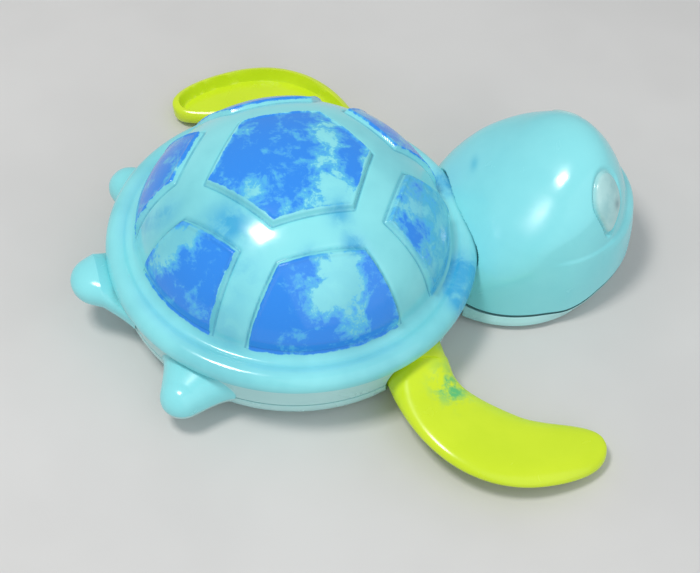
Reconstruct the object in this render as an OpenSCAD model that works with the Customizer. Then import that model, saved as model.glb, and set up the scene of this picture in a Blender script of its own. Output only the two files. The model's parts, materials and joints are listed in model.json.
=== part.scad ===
// Wind-up swimming turtle for the bath: a hollow plastic body whose two flippers
// turn on one cross axle, driven by a clockwork module under the shell.
// Millimetres. The ground is z = 0, +X points to the head, +Y to the turtle's left.

/* [Shell] */
// Outer radius of the shell's rim
shell_r = 46; // [44:0.5:49]
// Height of the rim's underside above the ground
seam_z = 17.2; // [16.8:0.1:18.5]
// Radius of the rounded bead along the rim
bead_r = 3.3; // [2.8:0.1:3.6]
// Height of the bead's crown above the rim's underside
bead_h = 4; // [3.6:0.1:4.6]
// Radius of the dome where it meets the valley behind the bead
dome_r = 38.6; // [37.5:0.1:39]
// Height of the dome's foot above the rim's underside
dome_rise = 2; // [1.5:0.1:2.2]
// Height of the dome above its foot
dome_h = 29.8; // [28:0.2:34]
// Thickness of the moulded walls
wall = 2; // [1.6:0.1:2.2]
// Height of the raised shell plates at the top of the dome
scute_h = 0.8; // [0.4:0.1:1.2]

/* [Body] */
// Height of the parting line between the body halves, where the axle runs
parting_z = 8.2; // [8.2:0.1:8.8]
// Outer radius of the body at the parting line
waist_r = 43; // [42.6:0.1:43.6]
// Outer radius of the body under the rim
skirt_top_r = 44.2; // [43.8:0.1:45]
// Thickness of the body's wall under the rim
skirt_lip = 3.2; // [2.4:0.1:4]
// Radius of the flat belly
belly_flat_r = 33; // [32:0.5:35]
// Length of a rear leg outside the body
leg_l = 10; // [7:0.5:14]
// Angle of a rear leg from straight ahead
leg_angle = 137; // [132:1:145]
// Angle between the leg's middle and the edge of its spread root
leg_spread = 9; // [0:1:12]
// Radius of a leg at its root
leg_root_r = 7; // [6:0.2:8]
// Radius of a leg at its tip
leg_tip_r = 4.8; // [4:0.2:5.6]
// Height of a leg's centre line
leg_z = 9.8; // [9.4:0.1:10.4]
// Length of the tail outside the rim
tail_l = 9.3; // [6:0.1:13]
// Angle between the tail's middle and the edge of its spread root
tail_spread = 20; // [0:1:26]
// Radius of the tail at its root
tail_root_r = 6.4; // [5.5:0.1:7]
// Radius of the tail at its tip
tail_tip_r = 3.2; // [2.6:0.1:4]
// Height of the tail's tip
tail_tip_z = 13.2; // [12:0.1:14]
// Height of the tail's root
tail_root_z = 10.6; // [10:0.1:11]

/* [Head] */
// Length from the rim to the head's centre
neck_l = 15.8; // [15:0.2:20]
// Radius of the head at its seam
head_r = 26.2; // [25:0.2:28]
// Height of the top of the head
head_top_z = 41.2; // [37:0.2:44]
// How far the head leans forward
head_lean = 6; // [0:0.5:8]
// Height of the seam between the head and the jaw
jaw_seam_z = 4.5; // [4.4:0.1:5.4]
// Radius of the muzzle
muzzle_r = 24.8; // [24:0.1:25.4]
// How far the muzzle's centre lies ahead of the head's
muzzle_l = 2.9; // [2:0.1:3.4]
// Height of the crease over the muzzle, above the seam
muzzle_h = 20; // [18:0.2:22]
// Height of the jaw's underside
jaw_z = 0.9; // [0.6:0.1:2]
// How far the jaw sits inside the head's outline
jaw_step = 0.5; // [0.2:0.1:1]
// Radius of the jaw's flat underside
jaw_flat_r = 20; // [13:0.5:22]
// Width of the neck plug under the rim
neck_w = 39; // [36:0.5:40]
// Width of the collar that keeps the neck plug in the body
collar_w = 44; // [42:0.5:45]

/* [Flippers] */
// Place of the axle ahead of the body's centre
axle_x = 22; // [21.6:0.1:22.6]
// Radius of the axle
axle_r = 1.5; // [1.3:0.05:1.6]
// Radius of a flipper's hub
hub_r = 7.6; // [7:0.1:7.7]
// Distance from the middle to a hub's inner face
hub_in = 31.3; // [31:0.1:31.8]
// Distance from the middle to the start of a flipper's blade
blade_in = 37.5; // [37.2:0.1:38]
// Distance from the middle to a flipper's outer edge
flipper_span = 74.8; // [70:0.2:80]
// Half width of a blade at its root
blade_root = 8.2; // [7.8:0.1:8.2]
// Distance from the axle to a flipper's tip
flipper_reach = 40.6; // [38:0.2:42]
// Thickness of a blade
flipper_t = 4; // [3.4:0.1:4.2]
// Depth of the tray in a blade's hollow face
tray_depth = 1.8; // [1:0.1:2.2]
// Angle of the right flipper from straight ahead
right_angle = -8.2; // [-8.4:0.1:0]
// Angle of the left flipper from straight ahead
left_angle = 187.4; // [180:0.1:188.2]

/* [Gearbox] */
// Width of the gearbox across the body
case_w = 23; // [22:0.2:25]
// Thickness of the gearbox walls
case_wall = 1.5; // [1.2:0.1:1.8]
// Space between the gears and the gearbox walls
case_gap = 0.8; // [0.6:0.1:1]
// Height of the pillars under the gearbox ears
ear_pillar_h = 4; // [3.4:0.1:5]
// Length of a gearbox ear
ear_l = 6.4; // [6:0.1:6.6]
// Width of a gearbox ear
ear_w = 7; // [6:0.2:9]
// Thickness of a gearbox ear
ear_t = 1.6; // [1.2:0.1:2]
// Outer radius of an axle seal
seal_r = 3.1; // [2.8:0.1:3.2]
// Width of an axle seal
seal_w = 1.6; // [1.2:0.1:2]

/* [Gear train] */
// Tooth size of all the gears
gear_module = 0.6; // [0.58:0.01:0.62]
// Pressure angle of the teeth
pressure_angle = 25; // [24:1:26]
// Width of a gear
gear_w = 3; // [2.6:0.1:3.2]
// Space between two gears beside each other on their shafts
layer_gap = 0.6; // [0.5:0.1:0.8]
// Teeth of the pinion on the flipper axle
axle_teeth = 12; // [12:1:12]
// Teeth of the drive gear on the spring arbor
drive_teeth = 36; // [36:1:36]
// Teeth of the governor's idler pinion
idler_pinion_teeth = 10; // [10:1:10]
// Teeth of the governor's idler gear
idler_teeth = 30; // [30:1:30]
// Teeth of the pinion on the fly
fly_teeth = 10; // [10:1:10]
// Direction from the axle to the spring arbor
arbor_dir = 143; // [142:1:145]
// Direction from the spring arbor to the idler
idler_dir = 150; // [149:1:152]
// Direction from the idler to the fly
fly_dir = 210; // [208:1:212]
// Radius of the fly's vanes
fly_r = 6.5; // [5:0.1:6.6]
// Width of the fly's vanes
fly_w = 9; // [6:0.2:9.4]
// Thickness of a vane
vane_t = 1; // [0.8:0.1:1.4]
// Radius of the spring arbor
arbor_r = 1.5; // [1.3:0.05:1.6]
// Radius of the idler's pin
idler_pin_r = 0.8; // [0.6:0.05:0.9]
// Radius of the fly's pin
fly_pin_r = 0.6; // [0.5:0.05:0.7]

/* [Spring] */
// Radius of the arbor's core inside the spring
core_r = 2.2; // [2:0.1:2.4]
// Outer radius of the relaxed spring
spring_r = 11; // [10:0.1:11.2]
// Thickness of the spring strip
strip_t = 0.45; // [0.4:0.05:0.5]
// Width of the spring strip
spring_w = 10; // [8:0.2:10.4]
// Turns of the spring
spring_turns = 6; // [4:1:7]
// Radius of the post that holds the spring's outer end
spring_post_r = 0.7; // [0.5:0.05:0.8]

/* [Fasteners] */
// Distance from the body's centre to a front shell screw
front_post_at = 34.5; // [34.2:0.1:34.8]
// Angle of a front shell screw from straight ahead
front_post_angle = 29.5; // [29:0.5:31]
// Distance from the body's centre to a rear shell screw
rear_post_at = 30; // [28:0.1:31]
// Angle of a rear shell screw from straight ahead
rear_post_angle = 143; // [140:1:146]
// Distance from the head's middle to a jaw screw
jaw_screw_at = 14; // [12:0.5:16]
// Radius of a shell or jaw screw's shank
screw_r = 1.2; // [1:0.05:1.3]
// Radius of a shell or jaw screw's head
screw_head_r = 2.4; // [2.1:0.1:2.5]
// Height of a shell or jaw screw's head
screw_head_h = 1.6; // [1.2:0.1:2]
// Length of a shell or jaw screw under its head
screw_l = 11; // [9:0.5:12]
// Radius of a screw post
post_r = 3.4; // [3.2:0.1:3.6]
// Height of the seat under a screw's head
screw_seat_z = 5; // [4:0.1:5.6]
// Height where the shell's posts meet the belly's bosses
post_foot_z = 10; // [9:0.1:11]
// Radius of a gearbox screw's shank
small_screw_r = 0.9; // [0.7:0.05:0.95]
// Radius of a gearbox screw's head
small_head_r = 1.7; // [1.5:0.1:1.9]
// Height of a gearbox screw's head
small_head_h = 1.1; // [0.9:0.1:1.3]
// Length of a gearbox screw under its head
small_screw_l = 7; // [6:0.5:8]
// Length of a mounting screw under its head
mount_screw_l = 4.6; // [4:0.1:4.8]
// Radius of a gearbox screw post
small_post_r = 2; // [1.8:0.1:2.2]

/* [Fits] */
// Gap between a turning shaft and its hole, all round
running_fit = 0.05; // [0.03:0.01:0.08]
// Gap round a screw where it passes through
screw_fit = 0.2; // [0.1:0.05:0.3]
// Gap between separate mouldings
shell_gap = 0.4; // [0.3:0.05:0.5]
// Gap between a turning hub or blade root and the body
hub_gap = 0.5; // [0.4:0.05:0.55]
// Play between a gear's face and its stop
end_play = 0.3; // [0.2:0.05:0.4]
// Slack between meshed teeth
backlash = 0.12; // [0.1:0.01:0.16]

/* [Hidden] */
$fn = 64;

// How far every cut runs past the face that it opens
overrun = 1;
// Radius that the head stands clear of: the rim, or the body where that is wider
body_edge = max(shell_r, waist_r, skirt_top_r);
// Distances from the body's centre to the head, leg tips and tail tip
head_x = body_edge + neck_l;
leg_reach = waist_r + leg_l;
tail_reach = shell_r + tail_l;
// A length that reaches past the whole object
beyond = 2 * (head_x + head_r);
// Straight pieces that stand for a round profile
dome_steps = 16;
bead_steps = 12;
limb_steps = 6;
curve_steps = 8;
plate_steps = 6;
spring_steps = 20;
flank_steps = 3;
// Where the bead's curve ends in the valley, and the fullness of the head's curve
bead_end = 155;
head_fullness_share = 0.9;
// Rear slope of the head above the rim
head_slope_share = 1.1;
// Share of the muzzle's height over which its upper edge rounds off
muzzle_round_share = 0.35;
// Share of a limb's spread that is left at its tip, and of its tip radius that its sides fall short
limb_tip_share = 0.15;
limb_step_share = 0.5;
// Share of the dome's radius that the shell plates reach, and their corners
plate_edge_share = 0.985;
hexagon_shares = [[-0.56, 0], [-0.25, -0.43], [0.25, -0.41], [0.475, 0], [0.25, 0.41], [-0.25, 0.43]];
// Each side plate: radius share and angle of its two inner corners, then its two outer angles
side_plate_shares = [[0.746, 168, 0.692, 133.5, 133.7, 172], [0.694, 112.7, 0.694, 67.4, 62.6, 120.8],
    [0.653, 47.6, 0.679, 9.7, 7, 44.7]];
// Control points of a blade's edge: share of its length, then share of its width
blade_shares = [[0, 0.067], [0, 0.603], [0.253, 1], [0.58, 1], [0.824, 1], [1.004, 0.885],
    [1, 0.737], [0.996, 0.63], [0.845, 0.59], [0.716, 0.488], [0.58, 0.383], [0.4, 0.175]];
// Share of a blade's width that keeps the root's width, so that the rim is passed
root_share = 0.13;
// The tray's outline, drawn in from the blade's edge towards a middle point
tray_shares = [0.8, 0.76];
tray_middle_shares = [0.53, 0.72];
// Tooth heights in modules, above and below the pitch line
addendum_share = 0.85;
dedendum_share = 1.15;
// Directions of the gearbox's side walls
case_dirs = [0, 55, 90, 140, 180, 270];
// How far the gearbox screw posts stand inside its walls
post_inset_share = 0.5;
bead_at = shell_r - bead_r;
bead_z = seam_z + bead_h - bead_r;
dome_z = seam_z + dome_rise;
skirt_in_r = waist_r - wall;
skirt_top_in_r = skirt_top_r - skirt_lip;
collar_r = min(skirt_in_r, skirt_top_in_r) - shell_gap;
// Seat under a jaw screw's head, level with the jaw's floor
jaw_seat_z = jaw_z + wall;
case_half = case_w / 2;
layer_1 = -case_half + case_wall + end_play;
layer_2 = layer_1 + gear_w + layer_gap;
layer_3 = layer_2 + gear_w + layer_gap;
floor_z = wall;
seal_boss_r = seal_r + case_wall;
seal_boss_w = seal_w + end_play;
axle_end = blade_in + end_play;
axle_at = [axle_x, parting_z];
arbor_at = axle_at + mesh_distance(axle_teeth, drive_teeth) * [cos(arbor_dir), sin(arbor_dir)];
idler_at = arbor_at + mesh_distance(drive_teeth, idler_pinion_teeth) * [cos(idler_dir), sin(idler_dir)];
fly_at = idler_at + mesh_distance(idler_teeth, fly_teeth) * [cos(fly_dir), sin(fly_dir)];
// Angle of one tooth of each gear, so that the train is in mesh
drive_phase = arbor_dir + 180;
axle_phase = arbor_dir + 180 / axle_teeth;
idler_pinion_phase = mesh_phase(drive_phase, drive_teeth, idler_dir, idler_pinion_teeth);
idler_phase = fly_dir;
fly_phase = fly_dir + 180 + 180 / fly_teeth;
// Circles that the gearbox goes round
train_circles = [[axle_at, tip_radius(axle_teeth)], [arbor_at, tip_radius(drive_teeth)],
    [arbor_at, spring_r + strip_t + 2 * spring_post_r], [idler_at, tip_radius(idler_teeth)],
    [fly_at, fly_r]];
ear_top_z = floor_z + ear_pillar_h + ear_t;
front_face = case_support(0) + case_wall;
rear_face = -case_support(180) - case_wall;
ear_places = [front_face + ear_l / 2, rear_face - ear_l / 2];
case_screw_corners = [0, 1, 4];
body_posts = [for (side = [-1, 1])
    each [polar(front_post_at, side * front_post_angle), polar(rear_post_at, side * rear_post_angle)]];
jaw_posts = [for (side = [-1, 1]) [head_x, side * jaw_screw_at]];
spring_end_angle = arbor_dir + 90;

function polar(r, angle) = [r * cos(angle), r * sin(angle)];

// Points along an elliptic arc
function arc_points(centre, radii, from, to, steps) = [for (i = [0:steps])
    let (t = from + (to - from) * i / steps) centre + [radii[0] * cos(t), radii[1] * sin(t)]];

// Point on a cubic curve
function bezier(p, t) = pow(1 - t, 3) * p[0] + 3 * t * pow(1 - t, 2) * p[1]
    + 3 * t * t * (1 - t) * p[2] + pow(t, 3) * p[3];

function pitch_radius(n) = n * gear_module / 2;
function tip_radius(n) = pitch_radius(n) + addendum_share * gear_module;
function root_radius(n) = pitch_radius(n) - dedendum_share * gear_module;
function mesh_distance(a, b) = pitch_radius(a) + pitch_radius(b);
function involute(angle) = tan(angle) * 180 / PI - angle;

// Half the angle that a tooth spans at radius r
function tooth_half(n, r) = let (base = pitch_radius(n) * cos(pressure_angle))
    90 / n - backlash * 90 / PI / pitch_radius(n) + involute(pressure_angle)
    - involute(acos(base / max(r, base)));

// Angle of a tooth on the second gear of a pair, for the place of a tooth on the first
function mesh_phase(phase, n, dir, m) = let (pitches = (dir - phase) * n / 360)
    dir + 180 + (pitches - floor(pitches)) * 360 / m + 180 / m;

// Reach of the gear train in a direction, with its gap to the gearbox wall
function case_support(dir) = dir == 270 ? -floor_z - case_wall
    : max([for (c = train_circles) c[0] * [cos(dir), sin(dir)] + c[1] + case_gap]);

// Corner of the gearbox between two neighbouring walls, moved out by d
function case_corner(i, d) = let (a = case_dirs[i], b = case_dirs[(i + 1) % len(case_dirs)],
    ha = case_support(a) + d, hb = case_support(b) + d)
    [ha * sin(b) - hb * sin(a), hb * cos(a) - ha * cos(b)] / sin(b - a);

// A flat outline in X and Z, extruded along Y from y0 to y1
module across(y0, y1) {
    translate([0, y1, 0]) rotate([90, 0, 0]) linear_extrude(y1 - y0) children();
}

// A round bar along Y at a place in X and Z
module bar(at, r, y0, y1) {
    across(y0, y1) translate(at) circle(r);
}

// A body of revolution standing on the ground at a place in X and Y
module turned(points, at = [0, 0]) {
    translate([at[0], at[1], 0]) rotate_extrude($fn = 96) polygon(points);
}

module upper_half() {
    intersection() {
        children();
        translate([-beyond, -beyond, parting_z]) cube([2 * beyond, 2 * beyond, beyond]);
    }
}

module lower_half() {
    intersection() {
        children();
        translate([-beyond, -beyond, parting_z - beyond]) cube([2 * beyond, 2 * beyond, beyond]);
    }
}

// Holes in the shape of each screw post's shank, from z0 to z1
module drill(places, r, z0, z1) {
    for (p = places) translate([p[0], p[1], z0]) cylinder(h = z1 - z0, r = r);
}

// Solid dome with its foot at the valley; grow thickens or thins it
module dome_solid(foot_grow, top_grow) {
    turned(concat([[0, dome_z]], arc_points([0, dome_z], [dome_r + foot_grow, dome_h + top_grow], 0, 90,
        dome_steps)));
}

// Plan outline of one side plate of the shell, for the plate's row in side_plate_shares
module side_plate(row) {
    outer = arc_points([0, 0], plate_edge_share * dome_r * [1, 1], row[4], row[5], plate_steps);
    polygon(concat([polar(row[0] * dome_r, row[1]), polar(row[2] * dome_r, row[3])], outer));
}

module shell_plates() {
    polygon(hexagon_shares * dome_r);
    for (row = side_plate_shares) {
        side_plate(row);
        mirror([0, 1]) side_plate(row);
    }
}

module carapace() color([0.51, 0.87, 0.91]) {
    difference() {
        union() {
            turned(concat([[0, seam_z]], arc_points([bead_at, bead_z], [bead_r, bead_r],
                -asin((bead_z - seam_z) / bead_r), bead_end, bead_steps),
                arc_points([0, dome_z], [dome_r, dome_h], 0, 90, dome_steps)));
            intersection() {
                dome_solid(0, scute_h);
                translate([0, 0, dome_z]) linear_extrude(beyond) shell_plates();
            }
        }
        difference() {
            turned(concat([[0, seam_z - overrun], [dome_r - wall, seam_z - overrun]],
                arc_points([0, dome_z], [dome_r - wall, dome_h - wall], 0, 90, dome_steps)));
            drill(body_posts, post_r, seam_z - 2 * overrun, beyond);
        }
        drill(body_posts, screw_r, post_foot_z - overrun, screw_seat_z + screw_l + end_play);
    }
    difference() {
        drill(body_posts, post_r, post_foot_z, seam_z);
        drill(body_posts, screw_r, post_foot_z - overrun, seam_z + overrun);
    }
}

// A tapered tongue with a round tip, from a root point to the centre of its tip
module tongue(root, tip, root_r, tip_r) {
    run = tip - root;
    l = norm(run);
    translate(root) rotate([0, acos(run[2] / l), atan2(run[1], run[0])])
        rotate_extrude() polygon(concat([[0, 0], [root_r, 0]],
            arc_points([0, l], [tip_r, tip_r], 0, 90, limb_steps)));
}

// A flat limb of three tongues, rooted inside the body's wall and spread to both sides
module limb(angle, spread, root_r, tip_r, root_z, tip_z, reach) {
    for (lean = [-1, 0, 1]) {
        root = polar(skirt_in_r - root_r, angle + lean * spread);
        tip = polar(reach - (1 + abs(lean) * limb_step_share) * tip_r,
            angle + lean * limb_tip_share * spread);
        tongue([root[0], root[1], root_z], [tip[0], tip[1], tip_z], root_r, tip_r);
    }
}

// Two rear legs and the tail
module limbs() {
    for (side = [-1, 1])
        limb(side * leg_angle, leg_spread, leg_root_r, leg_tip_r, leg_z, leg_z, leg_reach);
    limb(180, tail_spread, tail_root_r, tail_tip_r, tail_root_z, tail_tip_z, tail_reach);
}

// Space that the hubs and blade roots sweep as the axle turns
module flipper_wells() {
    for (side = [-1, 1]) {
        bar(axle_at, hub_r + hub_gap, min(side * (hub_in - hub_gap), side * beyond),
            max(side * (hub_in - hub_gap), side * beyond));
        bar(axle_at, blade_root + hub_gap, min(side * (blade_in - hub_gap), side * beyond),
            max(side * (blade_in - hub_gap), side * beyond));
    }
}

module upper_body() color([0.53, 0.88, 0.91]) difference() {
    upper_half() {
        union() {
            turned([[0, parting_z], [waist_r, parting_z], [skirt_top_r, seam_z], [0, seam_z]]);
            limbs();
        }
    }
    turned([[0, parting_z - overrun], [skirt_in_r, parting_z - overrun], [skirt_in_r, parting_z],
        [skirt_top_in_r, seam_z], [skirt_top_in_r, seam_z + overrun], [0, seam_z + overrun]]);
    translate([0, -neck_w / 2 - shell_gap, parting_z - overrun])
        cube([beyond, neck_w + 2 * shell_gap, seam_z - parting_z + 2 * overrun]);
    flipper_wells();
}

// Bowl outline of the belly from the flat up to the parting line
function belly_points(inset) = concat([[0, parting_z], [0, inset]],
    arc_points([belly_flat_r, parting_z], [waist_r - belly_flat_r - inset, parting_z - inset], -90, 0,
    dome_steps / 2));

module lower_body() color([0.66, 0.90, 0.92]) difference() {
    union() {
        difference() {
            lower_half() {
                union() {
                    turned(belly_points(0));
                    limbs();
                }
            }
            difference() {
                turned(belly_points(wall));
                drill(body_posts, post_r, -overrun, parting_z + overrun);
                for (x = ear_places)
                    drill([[x, 0]], ear_l / 2 - screw_fit, -overrun, floor_z + ear_pillar_h);
            }
        }
        difference() {
            drill(body_posts, post_r, parting_z, post_foot_z);
            drill(body_posts, screw_r + screw_fit, parting_z - overrun, post_foot_z + overrun);
        }
    }
    drill(body_posts, screw_r + screw_fit, 0, parting_z + overrun);
    drill(body_posts, screw_head_r + screw_fit, -overrun, screw_seat_z);
    for (x = ear_places)
        drill([[x, 0]], small_screw_r, ear_top_z - mount_screw_l, ear_top_z);
    flipper_wells();
}

// Outline of the head along its leaning axis, drawn in by inset
function head_points(inset) = let (r = head_r - inset, foot = -beyond * sin(head_lean),
    h = (head_top_z - jaw_seam_z) / cos(head_lean) - inset)
    concat([[0, foot], [r, foot]], [for (i = [0:dome_steps]) let (t = 90 * i / dome_steps)
        [r * pow(cos(t), head_fullness_share), h * pow(sin(t), head_fullness_share)]]);

// Outline of the muzzle along the same axis, drawn in by inset
function muzzle_points(inset) = let (r = muzzle_r - inset, foot = -beyond * sin(head_lean),
    h = muzzle_h - inset, edge = muzzle_round_share * muzzle_h)
    concat([[0, foot], [r, foot]], arc_points([r - edge, h - edge], [edge, edge], 0, 90, curve_steps),
        [[0, h]]);

// Head and muzzle above a height, drawn in by inset
module head_solid(inset, z) {
    intersection() {
        translate([head_x, 0, jaw_seam_z]) rotate([0, head_lean, 0]) {
            rotate_extrude($fn = 96) polygon(head_points(inset));
            translate([muzzle_l, 0, 0]) rotate_extrude($fn = 96) polygon(muzzle_points(inset));
        }
        translate([-beyond, -beyond, z]) cube(2 * beyond);
    }
}

// Space kept clear for the shell and body behind the head, grown by d, and the slope of its neck
module behind_head(d) {
    edge = body_edge + shell_gap + d;
    crest = seam_z + bead_h;
    slope_x = sqrt(edge * edge - neck_w * neck_w / 4);
    turned([[0, -overrun], [edge, -overrun], [edge, crest], [0, crest]]);
    across(-beyond, beyond) polygon([[0, crest], [slope_x, crest],
        [slope_x + head_slope_share * head_top_z, crest + head_top_z], [0, crest + head_top_z]]);
}

module head_shell() color([0.51, 0.87, 0.91]) {
    difference() {
        union() {
            difference() {
                head_solid(0, jaw_seam_z);
                behind_head(0);
            }
            neck_plug();
        }
        difference() {
            head_solid(wall, jaw_seam_z - overrun);
            behind_head(wall);
            drill(jaw_posts, post_r, jaw_seam_z - 2 * overrun, beyond);
        }
        neck_passage();
        drill(jaw_posts, screw_r, jaw_seam_z - overrun, jaw_seat_z + screw_l + end_play);
    }
}

// The neck under the rim, with a collar inside the body's wall
module neck_plug() {
    translate([0, 0, parting_z]) linear_extrude(seam_z - parting_z) difference() {
        union() {
            translate([0, -neck_w / 2]) square([head_x - head_r / 2, neck_w]);
            intersection() {
                translate([0, -collar_w / 2]) square([head_x, collar_w]);
                circle(collar_r, $fn = 96);
            }
        }
        circle(collar_r - wall, $fn = 96);
    }
}

// Passage through the neck plug
module neck_passage() {
    translate([0, wall - neck_w / 2, parting_z + wall])
        cube([head_x - head_r / 2, neck_w - 2 * wall, seam_z - parting_z - 2 * wall]);
}

module jaw() color([0.66, 0.90, 0.92]) difference() {
    jaw_solid(0);
    difference() {
        jaw_solid(wall);
        drill(jaw_posts, post_r, jaw_z, jaw_seam_z + overrun);
    }
    drill(jaw_posts, screw_r + screw_fit, 0, jaw_seam_z + overrun);
    drill(jaw_posts, screw_head_r + screw_fit, -overrun, jaw_seat_z);
}

module jaw_solid(inset) {
    r = head_r - jaw_step - inset;
    difference() {
        turned(concat([[0, jaw_seam_z + (inset > 0 ? overrun : 0)], [0, jaw_z + inset]],
            arc_points([jaw_flat_r, jaw_seam_z], [r - jaw_flat_r, jaw_seam_z - jaw_z - inset], -90, 0,
            dome_steps / 2), inset > 0 ? [[r, jaw_seam_z + overrun]] : []), [head_x, 0]);
        behind_head(inset);
    }
}

// Outline of a blade in the plane of the axle: X along the blade, Y away from the body
function blade_points() = let (size = [blade_root + flipper_reach, flipper_span - blade_in],
    start = [-blade_root, blade_in],
    p = [for (s = blade_shares) start + [s[0] * size[0], s[1] * size[1]]],
    curves = [[p[0], p[1], p[2], p[3]], [p[3], p[4], p[5], p[6]], [p[6], p[7], p[8], p[9]],
        [p[9], p[10], p[11], [blade_root, blade_in + root_share * size[1]]]])
    concat([start], [for (c = curves) for (i = [0:curve_steps - 1]) bezier(c, i / curve_steps)],
        [curves[3][3], [blade_root, blade_in]]);

module blade_outline() {
    polygon(blade_points());
}

module tray_outline() {
    middle = [tray_middle_shares[0] * (blade_root + flipper_reach) - blade_root,
        blade_in + tray_middle_shares[1] * (flipper_span - blade_in)];
    polygon([for (p = blade_points()) [middle[0] + tray_shares[0] * (p[0] - middle[0]),
        middle[1] + tray_shares[1] * (p[1] - middle[1])]]);
}

// A flipper on the left of the body, its hollow face up, pointing straight ahead
module flipper() {
    difference() {
        union() {
            translate([0, 0, -flipper_t / 2]) linear_extrude(flipper_t) blade_outline();
            bar([0, 0], hub_r, hub_in, blade_in + flipper_t);
        }
        translate([0, 0, flipper_t / 2 - tray_depth]) linear_extrude(flipper_t) tray_outline();
        bar([0, 0], axle_r, hub_in - overrun, axle_end);
    }
}

module right_flipper() color([0.78, 0.92, 0.18])
    translate([axle_x, 0, parting_z]) rotate([0, -right_angle, 0]) mirror([0, 1, 0]) mirror([0, 0, 1])
        flipper();

module left_flipper() color([0.78, 0.92, 0.18])
    translate([axle_x, 0, parting_z]) rotate([0, -left_angle, 0]) mirror([0, 0, 1]) flipper();

module flipper_axle() color("silver") bar(axle_at, axle_r, -axle_end, axle_end);

// Outline of a gear with n teeth, one of them at the angle phase
module gear_outline(n, phase) {
    rise = (tip_radius(n) - root_radius(n)) / flank_steps;
    polygon([for (i = [0:n - 1]) let (mid = phase + 360 * i / n)
        each concat([for (k = [0:flank_steps]) let (r = root_radius(n) + rise * k)
            polar(r, mid - tooth_half(n, r))],
            [for (k = [flank_steps:-1:0]) let (r = root_radius(n) + rise * k)
            polar(r, mid + tooth_half(n, r))])]);
}

module gear(at, n, phase, y0, y1) {
    across(y0, y1) translate(at) gear_outline(n, phase);
}

module axle_pinion() color("white") difference() {
    gear(axle_at, axle_teeth, axle_phase, layer_1, layer_1 + gear_w);
    bar(axle_at, axle_r, layer_1 - overrun, layer_1 + gear_w + overrun);
}

module spacer(side) {
    y0 = side > 0 ? case_half + seal_boss_w + end_play : -hub_in;
    y1 = side > 0 ? hub_in : -case_half - seal_boss_w - end_play;
    difference() {
        bar(axle_at, axle_r + case_wall, y0, y1);
        bar(axle_at, axle_r, y0 - overrun, y1 + overrun);
    }
}

module right_spacer() color("whitesmoke") spacer(-1);

module left_spacer() color("whitesmoke") spacer(1);

module axle_seal(y0) {
    difference() {
        bar(axle_at, seal_r, y0, y0 + seal_w);
        bar(axle_at, axle_r + running_fit, y0 - overrun, y0 + seal_w + overrun);
    }
}

module right_axle_seal() color("dimgray") axle_seal(-case_half - seal_w);

module left_axle_seal() color("dimgray") axle_seal(case_half);

// Gearbox outline, moved out by d from the space inside
module case_outline(d) {
    polygon([for (i = [0:len(case_dirs) - 1]) case_corner(i, d)]);
}

module ears() {
    for (x = ear_places) translate([x - ear_l / 2 - case_wall, -ear_w / 2, floor_z + ear_pillar_h])
        cube([ear_l + 2 * case_wall, ear_w, ear_t]);
}

// Tube round the axle outside a gearbox wall, which holds the seal
module seal_boss(y0, y1) {
    difference() {
        bar(axle_at, seal_boss_r, y0, y1);
        bar(axle_at, seal_r, y0 - overrun, y1 + overrun);
    }
}

module gearbox_case() color("gainsboro") {
    difference() {
        union() {
            across(-case_half, case_half - case_wall) case_outline(case_wall);
            intersection() {
                ears();
                ear_space();
            }
        }
        difference() {
            across(-case_half + case_wall, case_half) case_outline(0);
            for (i = case_screw_corners)
                bar(case_corner(i, -post_inset_share * small_post_r), small_post_r, -case_half,
                    case_half - case_wall);
        }
        for (i = case_screw_corners)
            bar(case_corner(i, -post_inset_share * small_post_r), small_screw_r,
                case_half - small_screw_l - end_play, case_half + overrun);
        shaft_holes(-case_half - overrun, -case_half + case_wall + overrun);
        for (x = ear_places) drill([[x, 0]], small_screw_r + screw_fit, floor_z, ear_top_z + overrun);
    }
    seal_boss(-case_half - seal_boss_w, -case_half);
}

// The ears end at the gearbox walls
module ear_space() {
    for (x = ear_places) translate([x, 0, 0]) cube([ear_l, beyond, beyond], center = true);
}

// Holes through a gearbox wall for the axle, the arbor and the pins
module shaft_holes(y0, y1) {
    bar(axle_at, axle_r + running_fit, y0, y1);
    bar(arbor_at, arbor_r + running_fit, y0, y1);
    bar(idler_at, idler_pin_r, y0, y1);
    bar(fly_at, fly_pin_r, y0, y1);
}

module gearbox_cover() color("gainsboro") {
    difference() {
        union() {
            across(case_half - case_wall, case_half) case_outline(case_wall);
            bar(idler_at, 2 * idler_pin_r, layer_3 - layer_gap + end_play, case_half);
            bar(fly_at, 2 * fly_pin_r, layer_3 + fly_w + end_play, case_half);
        }
        shaft_holes(layer_2, case_half + overrun);
        bar(spring_post_at(), spring_post_r, layer_3, case_half + overrun);
        for (i = case_screw_corners)
            bar(case_corner(i, -post_inset_share * small_post_r), small_screw_r + screw_fit,
                layer_2, case_half + overrun);
    }
    seal_boss(case_half, case_half + seal_boss_w);
}

module gearbox_screws() color("silver") {
    for (i = case_screw_corners) {
        at = case_corner(i, -post_inset_share * small_post_r);
        bar(at, small_screw_r, case_half - small_screw_l, case_half);
        bar(at, small_head_r, case_half, case_half + small_head_h);
    }
}

module mount_screws() color("silver") {
    for (x = ear_places) {
        drill([[x, 0]], small_screw_r, ear_top_z - mount_screw_l, ear_top_z);
        drill([[x, 0]], small_head_r, ear_top_z, ear_top_z + small_head_h);
    }
}

module spring_arbor() color("silver") {
    bar(arbor_at, arbor_r, -case_half, case_half);
    bar(arbor_at, core_r, layer_3, layer_3 + spring_w);
}

module drive_gear() color("white") difference() {
    gear(arbor_at, drive_teeth, drive_phase, layer_1, layer_1 + gear_w);
    bar(arbor_at, arbor_r, layer_1 - overrun, layer_1 + gear_w + overrun);
}

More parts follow.
